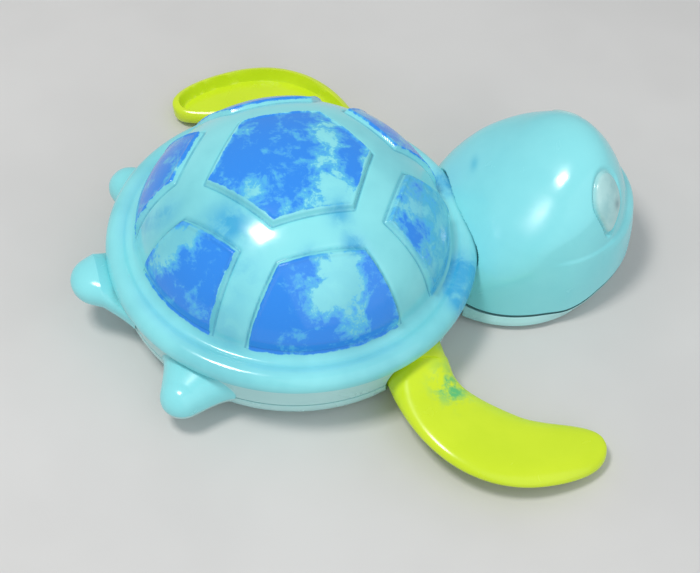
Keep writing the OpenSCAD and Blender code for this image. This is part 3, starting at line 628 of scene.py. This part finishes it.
def limb_half(angle, upper, reach, tip_r, spread, middles, halves_above, halves_below):
    """The half of a limb above or below the parting plane, from inside the wall to its tip."""
    way = np.array([math.cos(math.radians(angle)), math.sin(math.radians(angle)), 0.0])
    side = np.array([-way[1], way[0], 0.0])
    start, tip_at = WAIST_R - WALL / 2, reach - tip_r
    flank = math.atan(spread)
    touch = tip_at + tip_r * math.sin(flank)
    tip = tip_at + tip_r * np.sin(np.linspace(flank, math.radians(TIP_END), TIP_STEPS))
    plane = PARTING_Z + (SEAM_GAP if upper else -SEAM_GAP) / 2
    rings = []
    for at in np.concatenate([np.linspace(start, touch, LIMB_STEPS), tip[1:]]):
        share = (min(at, tip_at) - start) / (tip_at - start)
        middle, above, below = (a + (b - a) * share for a, b in (middles, halves_above, halves_below))
        end = math.sqrt(1.0 - (max(at - tip_at, 0.0) / tip_r) ** 2)
        width = tip_r * math.cos(flank) + (touch - at) * spread if at <= touch else tip_r * end
        width += ROOT_FLARE * math.exp(-(at - start) / FLARE_REACH)
        section = limb_section(width, end * above, end * below, plane - middle, upper)
        if section is not None:
            across, height = section
            ring = way * at + across[:, None] * side
            past_rim = np.maximum(np.hypot(ring[:, 0], ring[:, 1]) - SHELL_R + RIM_TUCK, 0.0)
            ring[:, 2] = np.minimum(middle + height, SEAM_Z - SEAM_GAP + RIM_RISE * past_rim)
            rings.append(ring)
    return loft(rings)


def limbs(name, upper):
    parts = [limb_half(side * LEG_ANGLE, upper, **LEG) for side in (-1, 1)]
    return make_object(name, parts + [limb_half(TAIL_ANGLE, upper, **TAIL)])


def pins(name, spots_xy, r, z0, z1):
    parts = [loft(revolve([[r, z0], [r, z1]], PIN_COLUMNS, centre=p)) for p in spots_xy]
    return make_object(name, parts)


def hub_wells():
    parts = []
    for side in (-1, 1):
        ends = (side * (HUB_IN - WELL_CLEAR), side * (HUB_IN + WELL_OVERRUN))
        profile = [[HUB_WELL_R, end] for end in ends]
        parts.append(loft(revolve(profile, HUB_COLUMNS, "Y", (AXLE[0], AXLE[2]))))
    return make_object("well_tool", parts)


def upper_body():
    foot, inner = PARTING_Z + SEAM_GAP / 2, WAIST_R - WALL
    profile = [[inner, foot], [WAIST_R - FOOT_BEVEL, foot], [WAIST_R, foot + FOOT_BEVEL],
               [SKIRT_TOP_R, SEAM_Z], [inner, SEAM_Z]]
    obj = make_object("upper_body_skin", [tube_loop(revolve(profile, BODY_COLUMNS))])
    boolean(obj, hub_wells(), "DIFFERENCE")
    boolean(obj, limbs("upper_limb_tool", True), "UNION")
    co = places(obj)
    wall = WAIST_R + (SKIRT_TOP_R - WAIST_R) * (co[:, 2] - foot) / (SEAM_Z - foot)
    point_values(obj, "limb", np.clip(np.hypot(co[:, 0], co[:, 1]) - wall, 0.0, 1.0))
    settle(obj, "body", "body_aqua", skirt_material(), "upper_body")


def lower_body():
    top = PARTING_Z - SEAM_GAP / 2
    outer = arc((BELLY_FLAT_R, top), (WAIST_R - BELLY_FLAT_R, top), 0.0, -90.0, BELLY_STEPS)
    inner = arc((BELLY_FLAT_R, top), (WAIST_R - WALL - BELLY_FLAT_R, top - WALL),
                -90.0, 0.0, BELLY_INNER_STEPS)
    profile = np.vstack([outer, [[AXIS_R, 0.0], [AXIS_R, WALL]], inner])
    obj = make_object("lower_body_skin", [tube_loop(revolve(profile, BODY_COLUMNS))])
    boolean(obj, hub_wells(), "DIFFERENCE")
    boolean(obj, pins("post_tool", BODY_POSTS, POST_R, WALL / 2, POST_TOP_Z), "UNION")
    boolean(obj, pins("bore_tool", BODY_POSTS, BORE_R, -BORE_OVERRUN, BORE_TOP_Z), "DIFFERENCE")
    boolean(obj, limbs("lower_limb_tool", False), "UNION")
    settle(obj, "body", "pale_aqua", PALE_PLASTIC, "lower_body")


# Head and jaw

# A ball that leans ahead, cut by the neck's slope and by the clearance around the shell's rim
HEAD_X, HEAD_SEAM_Z = 61.7, 4.5
HEAD_R, HEAD_H, HEAD_ROUNDNESS = 25.9, 39.9, 2.13
HEAD_LEAN = 6.6
RIM_CLEAR = 0.3
# A place on the neck's slope, how far it runs ahead for each millimetre up, and its radius across
NECK_X, NECK_Z, NECK_RUN = 41.8, SEAM_Z + BEAD_H, 1.1
NAPE_R = 50.0
# Width of the blend between neck and ball at a low and at a high place, and those two heights
NECK_BLENDS, NECK_BLEND_Z = (4.0, 12.0), (24.0, 34.0)
# Low down the head's plan is squarer behind its middle than ahead of it
NAPE_SQUARENESS, NAPE_Z = 0.55, (32.0, 20.0)
# The place inside from which the skin is found, how far out it can lie, and in how many halvings
HEAD_MIDDLE = np.array([HEAD_X + 2.0, 0.0, 14.0])
HEAD_REACH, HALVINGS = 48.0, 30
HEAD_COLUMNS, HEAD_STEPS = 440, 210
# The seam climbs towards the chin: how far, and between which turns from the front
SEAM_CLIMB, SEAM_TURNS = 4.3, (90.0, 42.0)
# The near eye: its middle, the way down to its lower corner, half length and half width
EYE_AT = np.array([76.1, -14.8, 31.0])
EYE_LONG = np.array([0.1, -9.2, -13.2])
EYE_HALF = (8.2, 5.3)
# How much narrower an eye gets towards its lower corner
EYE_TAPER = 0.45
# Points further than this from an eye's middle get a share that means no eye
EYE_REACH, NO_EYE = 16.0, 3.0
# The groove around an eye: share of the way to the edge, width, height
EYE_GROOVE = (1.0, 0.08, -0.9)
# The crown of an eye: height, share of that at its upper end, where it grows, and where it ends
EYE_CROWN, EYE_UPPER_SHARE, EYE_GROWTH, EYE_CROWN_END = 1.0, 0.2, (-0.8, 0.3), 0.95
PUPIL_AT = np.array([77.7, -14.7, 30.0])
PUPIL_SPREAD, PUPIL_STRENGTH = 0.9, 0.85
# The crease over the muzzle and the cheeks climbs towards the front
CREASE_Z, CREASE_CLIMB, CREASE_TURNS = 21.5, 2.0, (50.0, 10.0)
# The muzzle bulges by the first value times the cosine of the turn, less the second;
# its upper edge lies between these heights over the crease
MUZZLE, MUZZLE_EDGE = (2.9, 1.4), (1.0, -2.5)
CHEEK_H, CHEEK_TURNS, CHEEK_EDGE = 0.3, (96.0, 80.0), (0.6, -0.8)
# A smudge on the nape: its middle, the directions across and along it, half sizes, strength
HEAD_SMUDGE = (49.2, 8.6, 26.0)
SMUDGE_ACROSS, SMUDGE_ALONG = (0.5, -0.2, 0.0), (0.4, 0.9, 0.3)
SMUDGE_HALF, SMUDGE_STRENGTH = (0.5, 2.4), 0.6
# The bevel under the head's edge, and the number of rings that it takes up
HEAD_BEVEL, BEVEL_STEPS = 0.5, 3
# The joint's groove in the top of the jaw
JOINT_DEPTH, JOINT_INSET = 1.3, 1.0
# The jaw's outline low down is a circle set back from the chin
JAW_X, JAW_R = 57.5, 26.4
# Share of the way down the jaw, share of the way from the seam's outline to that circle, inset
JAW_PROFILE = [(0.0, 0.0, 0.15), (0.04, 0.05, 0.0), (0.16, 0.3, 0.0), (0.4, 0.8, 0.0),
               (0.65, 1.0, 0.0), (0.85, 1.0, 0.4), (0.96, 1.0, 1.2), (1.0, 1.0, 2.4)]
JAW_STEPS = 34
JAW_SCREW_X, JAW_SCREW_Y = (low("jaw_screws")[0] + high("jaw_screws")[0]) / 2, 14.0
JAW_POSTS = [(JAW_SCREW_X, -JAW_SCREW_Y), (JAW_SCREW_X, JAW_SCREW_Y)]


def head_field(p):
    """Negative inside the head, which stays clear of the shell's rim and skirt."""
    x, z = p[..., 0] - HEAD_X, p[..., 2] - HEAD_SEAM_Z
    lean = math.radians(HEAD_LEAN)
    across = math.cos(lean) * x - math.sin(lean) * z
    along = np.maximum(math.sin(lean) * x + math.cos(lean) * z, 0.0)
    power = 2.0 + np.where(across < 0, NAPE_SQUARENESS * smoothstep(*NAPE_Z, p[..., 2]), 0.0)
    plan = (np.abs(across) ** power + np.abs(p[..., 1]) ** power) ** (1.0 / power)
    shares = (plan / HEAD_R) ** HEAD_ROUNDNESS + (along / HEAD_H) ** HEAD_ROUNDNESS
    ball = (shares ** (1.0 / HEAD_ROUNDNESS) - 1.0) * HEAD_R
    slope = (NECK_RUN * (p[..., 2] - NECK_Z) - (p[..., 0] - NECK_X)) / math.hypot(1.0, NECK_RUN)
    slope += p[..., 1] ** 2 / (2 * NAPE_R)
    low_blend, high_blend = NECK_BLENDS
    reach = low_blend + (high_blend - low_blend) * smoothstep(*NECK_BLEND_Z, p[..., 2])
    blend = np.maximum(reach - np.abs(ball - slope), 0.0) ** 2 / (4 * reach)
    r = np.hypot(p[..., 0], p[..., 1])
    under_rim = np.where(p[..., 2] > SEAM_Z - RIM_CLEAR, SHELL_R, SKIRT_TOP_R) - r
    over_rim = BEAD_R - np.hypot(r - BEAD_AT, p[..., 2] - BEAD_Z)
    rim = np.where(p[..., 2] > BEAD_Z, over_rim, under_rim) + RIM_CLEAR
    return np.maximum(np.maximum(ball, slope) + blend, rim)


def surface_along(origin, ways):
    """Distance to the head's plain surface along each way from an origin inside it."""
    near, far = np.zeros(ways.shape[:-1]), np.full(ways.shape[:-1], HEAD_REACH)
    for _ in range(HALVINGS):
        middle = (near + far) / 2
        inside = head_field(origin + ways * middle[..., None]) < 0
        near, far = np.where(inside, middle, near), np.where(inside, far, middle)
    return near


def near_side(p):
    """Points of the far side are taken over to the near side, since both eyes are alike."""
    return np.stack([p[..., 0], -np.abs(p[..., 1]), p[..., 2]], axis=-1)


def eye_place(p):
    """Share of the way from an eye's middle to its edge, and to its lower corner."""
    long_axis = unit(EYE_LONG)
    short_axis = unit(np.cross(long_axis, EYE_AT - HEAD_MIDDLE))
    q = near_side(p) - EYE_AT
    down = q @ long_axis / EYE_HALF[0]
    narrow = 1.0 - EYE_TAPER * smoothstep(0.0, 1.0, down)
    share = np.hypot(down, q @ short_axis / (EYE_HALF[1] * narrow))
    return np.where(np.linalg.norm(q, axis=-1) < EYE_REACH, share, NO_EYE), down


def face_relief(p):
    """Height of the eyes, cheeks and muzzle over the plain head."""
    eye, down = eye_place(p)
    growth = EYE_UPPER_SHARE + (1.0 - EYE_UPPER_SHARE) * smoothstep(*EYE_GROWTH, down)
    crown = EYE_CROWN * growth * np.sqrt(np.clip(1.0 - (eye / EYE_CROWN_END) ** 2, 0.0, 1.0))
    turn = np.arctan2(np.abs(p[..., 1]), p[..., 0] - HEAD_X)
    crease = CREASE_Z + CREASE_CLIMB * smoothstep(*CREASE_TURNS, np.degrees(turn))
    over_crease = p[..., 2] - crease
    bulge = np.maximum(MUZZLE[0] * np.cos(turn) - MUZZLE[1], 0.0)
    muzzle = bulge * smoothstep(*MUZZLE_EDGE, over_crease)
    cheek = smoothstep(*CHEEK_TURNS, np.degrees(turn)) * smoothstep(*CHEEK_EDGE, over_crease)
    return hump(eye, *EYE_GROOVE) + crown + muzzle + CHEEK_H * cheek


def head_rings():
    """Rings from the seam, which climbs towards the chin, to the crown."""
    turn = np.linspace(-math.pi, math.pi, HEAD_COLUMNS, endpoint=False)
    level = np.stack([np.cos(turn), np.sin(turn), np.zeros(HEAD_COLUMNS)], axis=-1)
    seam_z = HEAD_SEAM_Z + SEAM_CLIMB * smoothstep(*SEAM_TURNS, np.degrees(np.abs(turn)))
    foot = np.column_stack([np.tile(HEAD_MIDDLE[:2], (HEAD_COLUMNS, 1)), seam_z])
    lowest = np.arctan2(seam_z - HEAD_MIDDLE[2], surface_along(foot, level))
    rings = []
    for share in np.linspace(0.0, 1.0, HEAD_STEPS):
        rise = lowest + (math.radians(CROWN) - lowest) * share
        ways = level * np.cos(rise)[:, None] + np.sin(rise)[:, None] * [0.0, 0.0, 1.0]
        base = HEAD_MIDDLE + ways * surface_along(HEAD_MIDDLE, ways)[:, None]
        rings.append(base + ways * face_relief(base)[:, None])
    return rings


def head_shell(all_rings):
    rings = all_rings[BEVEL_STEPS:]
    away = unit((rings[0] - HEAD_MIDDLE) * [1.0, 1.0, 0.0])
    edge = rings[0] - HEAD_BEVEL * (away + [0.0, 0.0, 1.0])
    obj = make_object("head_skin", [loft([edge] + rings)])
    co = places(obj)
    point_values(obj, "eye", np.clip(eye_place(co)[0], 0.0, NO_EYE))
    from_pupil = np.sum((near_side(co) - PUPIL_AT) ** 2, axis=1)
    point_values(obj, "pupil", PUPIL_STRENGTH * np.exp(-from_pupil / (2 * PUPIL_SPREAD ** 2)))
    smear = (co - HEAD_SMUDGE) @ np.column_stack([SMUDGE_ACROSS, SMUDGE_ALONG]) / SMUDGE_HALF
    point_values(obj, "smudge", SMUDGE_STRENGTH * np.exp(-np.sum(smear ** 2, axis=1)))
    settle(obj, "body", "body_aqua", head_material(), "head_shell")


def jaw(seam):
    top = seam[:, 2] - HEAD_GAP / 2
    turn = np.arctan2(seam[:, 1], seam[:, 0] - JAW_X)
    out = np.column_stack([np.cos(turn), np.sin(turn)])
    circle = [JAW_X, 0.0] + JAW_R * out
    downs, shares, insets = np.array(JAW_PROFILE).T
    clear = SKIRT_TOP_R + RIM_CLEAR
    rings = [np.column_stack([seam[:, :2] - JOINT_INSET * out, top - JOINT_DEPTH])]
    for down in np.union1d(np.linspace(0.0, 1.0, JAW_STEPS), downs):
        share, inset = (np.interp(down, downs, v) for v in (shares, insets))
        plan = seam[:, :2] + share * (circle - seam[:, :2]) - inset * out
        plan *= np.maximum(clear / np.hypot(*plan.T), 1.0)[:, None]
        rings.append(np.column_stack([plan, top + (JAW_Z - top) * down]))
    obj = make_object("jaw_skin", [loft(rings)])
    bores = pins("jaw_bore_tool", JAW_POSTS, BORE_R, -BORE_OVERRUN, JAW_Z + WALL)
    boolean(obj, bores, "DIFFERENCE")
    settle(obj, "body", "pale_aqua", PALE_PLASTIC, "jaw")


# Flippers

BLADE_IN = 37.5
BLADE_ROOT = 8.2
FLIPPER_REACH = 40.6
# A blade's outline as shares of its length and width: ends and handles of its curves
BLADE_SHARES = [[0, 0.067], [0, 0.56], [0.2, 1], [0.6, 1], [0.8, 1], [0.985, 0.93],
                [0.975, 0.755], [0.97, 0.56], [0.74, 0.585],
                [0.597, 0.472], [0.48, 0.36], [0.37, 0.24]]
ROOT_SHARE = 0.13
EDGE_STEPS, BLADE_COLUMNS = 56, 112
# Half thickness, and the half width below which the blade's tip rounds off
BLADE_HALF, TIP_HALF = 2.6, 5.0
# The section's power along the blade and at its root
BLADE_POWER, ROOT_POWER = 3.4, 2.0
# The root is as thick as the hub less an inset, and thins out over this length
ROOT_INSET, ROOT_FADE = 1.2, 7.5
# The hollow face: width of its rim, depth, half width of its slope, and where it starts
TRAY_RIM, TRAY_DEPTH, TRAY_SLOPE, TRAY_START = 2.5, 3.7, 0.6, (6.0, 10.0)
HUB_R, HUB_BORE_R, HUB_BEVEL = 7.6, 1.6, 0.5
# How far the hub goes into the blade, and how much it narrows there
HUB_SINK, HUB_TAPER = 1.6, 0.8
BLADE_SHARP_ANGLE = 50.0
# How far each flipper is turned about the axle, and how it is mirrored
RIGHT_ANGLE, LEFT_ANGLE = -8.2, 187.4
RIGHT_MIRROR, LEFT_MIRROR = (1.0, -1.0, -1.0), (1.0, 1.0, -1.0)
# A smudge on the right flipper: place from the axle in plan, spread, strength
FLIPPER_SMUDGE = (5.5, -46.5, 2.8, 1.4)


def blade_edges():
    """Outer and inner edge of a blade, from the root to the tip."""
    size = np.array([BLADE_ROOT + FLIPPER_REACH, FLIPPER_SPAN - BLADE_IN])
    start = np.array([-BLADE_ROOT, BLADE_IN])
    p = start + np.array(BLADE_SHARES) * size
    root_end = np.array([BLADE_ROOT, BLADE_IN + ROOT_SHARE * size[1]])
    t = np.linspace(0, 1, EDGE_STEPS)
    outer = np.vstack([[start], bezier(p[0:4], t), bezier(p[3:7], t)[1:]])
    inner = np.vstack([[[BLADE_ROOT, BLADE_IN]], bezier([root_end, p[11], p[10], p[9]], t),
                       bezier([p[9], p[8], p[7], p[6]], t)[1:]])
    return outer, inner


def flipper_parts():
    """A flipper on the left of the body, hollow face up, pointing ahead; its axle at the origin."""
    outer, inner = blade_edges()
    edge = np.vstack([outer, inner[::-1][1:]])
    turn = np.linspace(0, 2 * math.pi, BLADE_COLUMNS, endpoint=False)
    across, height = np.cos(turn), np.sin(turn)
    rings = []
    for o, i in zip(outer[:-1], inner[:-1]):
        middle, half = (o + i) / 2, (o - i) / 2
        flat = middle + across[:, None] * half
        out = middle[1] - BLADE_IN
        root = math.exp(-(out / ROOT_FADE) ** 2)
        thick = BLADE_HALF + (HUB_R - ROOT_INSET - BLADE_HALF) * root
        thick *= math.sqrt(1.0 - max(1.0 - np.linalg.norm(half) / TIP_HALF, 0.0) ** 2)
        power = BLADE_POWER + (ROOT_POWER - BLADE_POWER) * root
        z = np.sign(height) * thick * np.sqrt(1.0 - np.abs(across) ** power)
        depth = inside_distance(flat, edge)
        tray = smoothstep(TRAY_RIM - TRAY_SLOPE, TRAY_RIM + TRAY_SLOPE, depth)
        sunk = z - TRAY_DEPTH * tray * smoothstep(*TRAY_START, out)
        rings.append(np.column_stack([flat, np.where(height > 0, sunk, z)]))
    hub_end = BLADE_IN + HUB_SINK
    hub = [[HUB_BORE_R, HUB_IN], [HUB_R - HUB_BEVEL, HUB_IN], [HUB_R, HUB_IN + HUB_BEVEL],
           [HUB_R, BLADE_IN], [HUB_R - HUB_TAPER, hub_end], [HUB_BORE_R, hub_end]]
    return [loft(rings), tube_loop(revolve(hub, HUB_COLUMNS, "Y"))]


def flipper(name, node, angle, mirror):
    t = math.radians(-angle)
    spin = np.array([[math.cos(t), 0, math.sin(t)], [0, 1, 0], [-math.sin(t), 0, math.cos(t)]])
    parts = [((verts * np.array(mirror)) @ spin.T + [AXLE[0], 0, AXLE[2]], faces)
             for verts, faces in flipper_parts()]
    obj = make_object(name, parts, BLADE_SHARP_ANGLE)
    smudge = spots(places(obj)[:, :2] - [AXLE[0], 0.0], [FLIPPER_SMUDGE])
    point_values(obj, "smudge", np.clip(smudge, 0.0, 1.0))
    settle(obj, "flippers", "flipper_lime", LIME_PLASTIC, node)


# Screws in the belly and the jaw

SCREW_HEAD_R, SCREW_HEAD_H, SCREW_ROUND = 2.4, 1.6, 0.45
SHANK_R = 1.2
SCREW_COLUMNS, ROUND_STEPS = 48, 8
# Half length, half width and depth of the cross in a screw's head
CROSS_LONG, CROSS_WIDE, CROSS_DEPTH = 1.4, 0.32, 1.0


def screws(name, node, spots_xy, material):
    """Screws standing on their heads, with a cross recess in each."""
    z0, z1 = low(node)[2], high(node)[2]
    edge = arc((SCREW_HEAD_R - SCREW_ROUND, z0 + SCREW_ROUND), (SCREW_ROUND, SCREW_ROUND),
               -90.0, 0.0, ROUND_STEPS)
    neck_z = z0 + SCREW_HEAD_H
    profile = np.vstack([edge, [[SCREW_HEAD_R, neck_z], [SHANK_R, neck_z], [SHANK_R, z1]]])
    obj = make_object(name, [loft(revolve(profile, SCREW_COLUMNS, centre=p)) for p in spots_xy])
    arm = np.array([[CROSS_LONG, -CROSS_WIDE], [CROSS_LONG, CROSS_WIDE], [CROSS_WIDE, CROSS_WIDE]])
    quarter_turns = ((1, 0), (0, 1), (-1, 0), (0, -1))
    outline = np.vstack([arm @ [[c, s], [-s, c]] for c, s in quarter_turns])
    cuts = []
    for spot in spots_xy:
        cuts.append(loft([np.column_stack([outline + spot, np.full(len(outline), z)])
                          for z in (z0 - CROSS_DEPTH, z0 + CROSS_DEPTH)]))
    boolean(obj, make_object("cross_tool", cuts), "DIFFERENCE")
    settle(obj, "body", "screw_steel", material, node)


# The clockwork keeps its solids and gets its finish

# Kind and name of the material, its two tones and its roughness, for each slot
CLOCKWORK = {
    "steel": (metal, "drawn_steel", srgb(205, 206, 208), srgb(176, 178, 182), 0.28),
    "screw_steel": (metal, "zinc_screw", srgb(196, 198, 202), srgb(160, 163, 168), 0.36),
    "spring_steel": (metal, "blued_spring", srgb(86, 100, 128), srgb(58, 70, 98), 0.32),
    "gear_white": (moulded_matt, "acetal", srgb(240, 239, 232), srgb(228, 226, 216), 0.42),
    "case_grey": (moulded_matt, "gearbox_plastic", srgb(204, 206, 208), srgb(186, 190, 194), 0.5),
    "seal_rubber": (moulded_matt, "seal_rubber", srgb(40, 40, 44), srgb(28, 28, 31), 0.66)}


def finish_clockwork():
    finish = {slot: kind(*values) for slot, (kind, *values) in CLOCKWORK.items()}
    for part in frame["record"]["subparts"]:
        if part["material_slot"] in finish:
            slots = frame["nodes"][part["node"]].data.materials
            slots.clear()
            slots.append(finish[part["material_slot"]])
    screws("body_screw_set", "body_screws", BODY_POSTS, finish["screw_steel"])
    screws("jaw_screw_set", "jaw_screws", JAW_POSTS, finish["screw_steel"])


# Stage: floor, light and camera

# The camera that the rim, dome and flippers in the photograph give
CAMERA_RISE, CAMERA_TURN, CAMERA_ROLL = 50.36, 19.17, 5.34
CAMERA_DISTANCE = 446.06
CAMERA_TARGET = np.array([16.13, 0.0, -3.7])
LENS, SENSOR, CLIP_START_M = 88.32, 36.0, 0.01
FLOOR_HALF = 3000.0
FLOOR_GREY, FLOOR_SHADE, FLOOR_GRAIN = srgb(214, 213, 211), srgb(208, 207, 205), (0.3, 0.7)
WORLD_COLOUR, WORLD_STRENGTH = (0.93, 0.96, 1.0, 1.0), 0.49
LAMPS = [dict(name="key", place=(-250, -70, 700), target=(10, 0, 20), size=160, watts=2.6,
              colour=(1.0, 0.98, 0.95)),
         dict(name="fill", place=(240, -560, 400), target=(20, 0, 20), size=900, watts=1.65,
              colour=(0.93, 0.97, 1.0))]


def camera():
    rise, turn, roll = (math.radians(v) for v in (CAMERA_RISE, CAMERA_TURN, CAMERA_ROLL))
    ahead = np.array([math.sin(turn), math.cos(turn), 0.0])
    back = np.array([0.0, 0.0, math.sin(rise)]) - math.cos(rise) * ahead
    right = np.array([math.cos(turn), -math.sin(turn), 0.0])
    up = np.cross(back, right)
    rolled_right = math.cos(roll) * right + math.sin(roll) * up
    rolled_up = -math.sin(roll) * right + math.cos(roll) * up
    place = (CAMERA_TARGET + CAMERA_DISTANCE * back) * MM
    data = bpy.data.cameras.new("camera")
    data.sensor_fit, data.sensor_width, data.lens = "HORIZONTAL", SENSOR, LENS
    data.clip_start = CLIP_START_M
    obj = bpy.data.objects.new("camera", data)
    bpy.context.scene.collection.objects.link(obj)
    matrix = np.identity(4)
    matrix[:3] = np.column_stack([rolled_right, rolled_up, back, place])
    obj.matrix_world = Matrix(matrix.tolist())
    bpy.context.scene.camera = obj


def lamp(name, place, target, size, watts, colour):
    data = bpy.data.lights.new(name, "AREA")
    data.shape, data.size, data.energy, data.color = "SQUARE", size * MM, watts, colour
    obj = bpy.data.objects.new(name, data)
    bpy.context.scene.collection.objects.link(obj)
    way = np.asarray(target, float) - np.asarray(place, float)
    obj.rotation_euler = Vector(way).to_track_quat("-Z", "Y").to_euler()
    obj.location = np.asarray(place, float) * MM


def stage():
    corners = FLOOR_HALF * np.array([[-1, -1, 0], [1, -1, 0], [1, 1, 0], [-1, 1, 0]])
    floor = make_object("floor", [(corners, [[0, 1, 2, 3]])])
    shader = Shader("floor_matt", Roughness=0.85)
    grain = shader.spread(shader.noise(size_mm=60.0, detail=3.0), *FLOOR_GRAIN)
    shader.link(shader.mix_colours(grain, FLOOR_GREY, FLOOR_SHADE), "Base Color")
    floor.data.materials.append(shader.material)
    world = bpy.data.worlds.new("studio")
    world.use_nodes = True
    background = world.node_tree.nodes["Background"]
    background.inputs["Color"].default_value = WORLD_COLOUR
    background.inputs["Strength"].default_value = WORLD_STRENGTH
    bpy.context.scene.world = world
    for values in LAMPS:
        lamp(**values)
    bpy.context.scene.view_settings.view_transform = "Standard"


carapace()
upper_body()
lower_body()
HEAD_RINGS = head_rings()
head_shell(HEAD_RINGS)
jaw(HEAD_RINGS[0])
flipper("right_flipper_blade", "right_flipper", RIGHT_ANGLE, RIGHT_MIRROR)
flipper("left_flipper_blade", "left_flipper", LEFT_ANGLE, LEFT_MIRROR)
finish_clockwork()
camera()
stage()
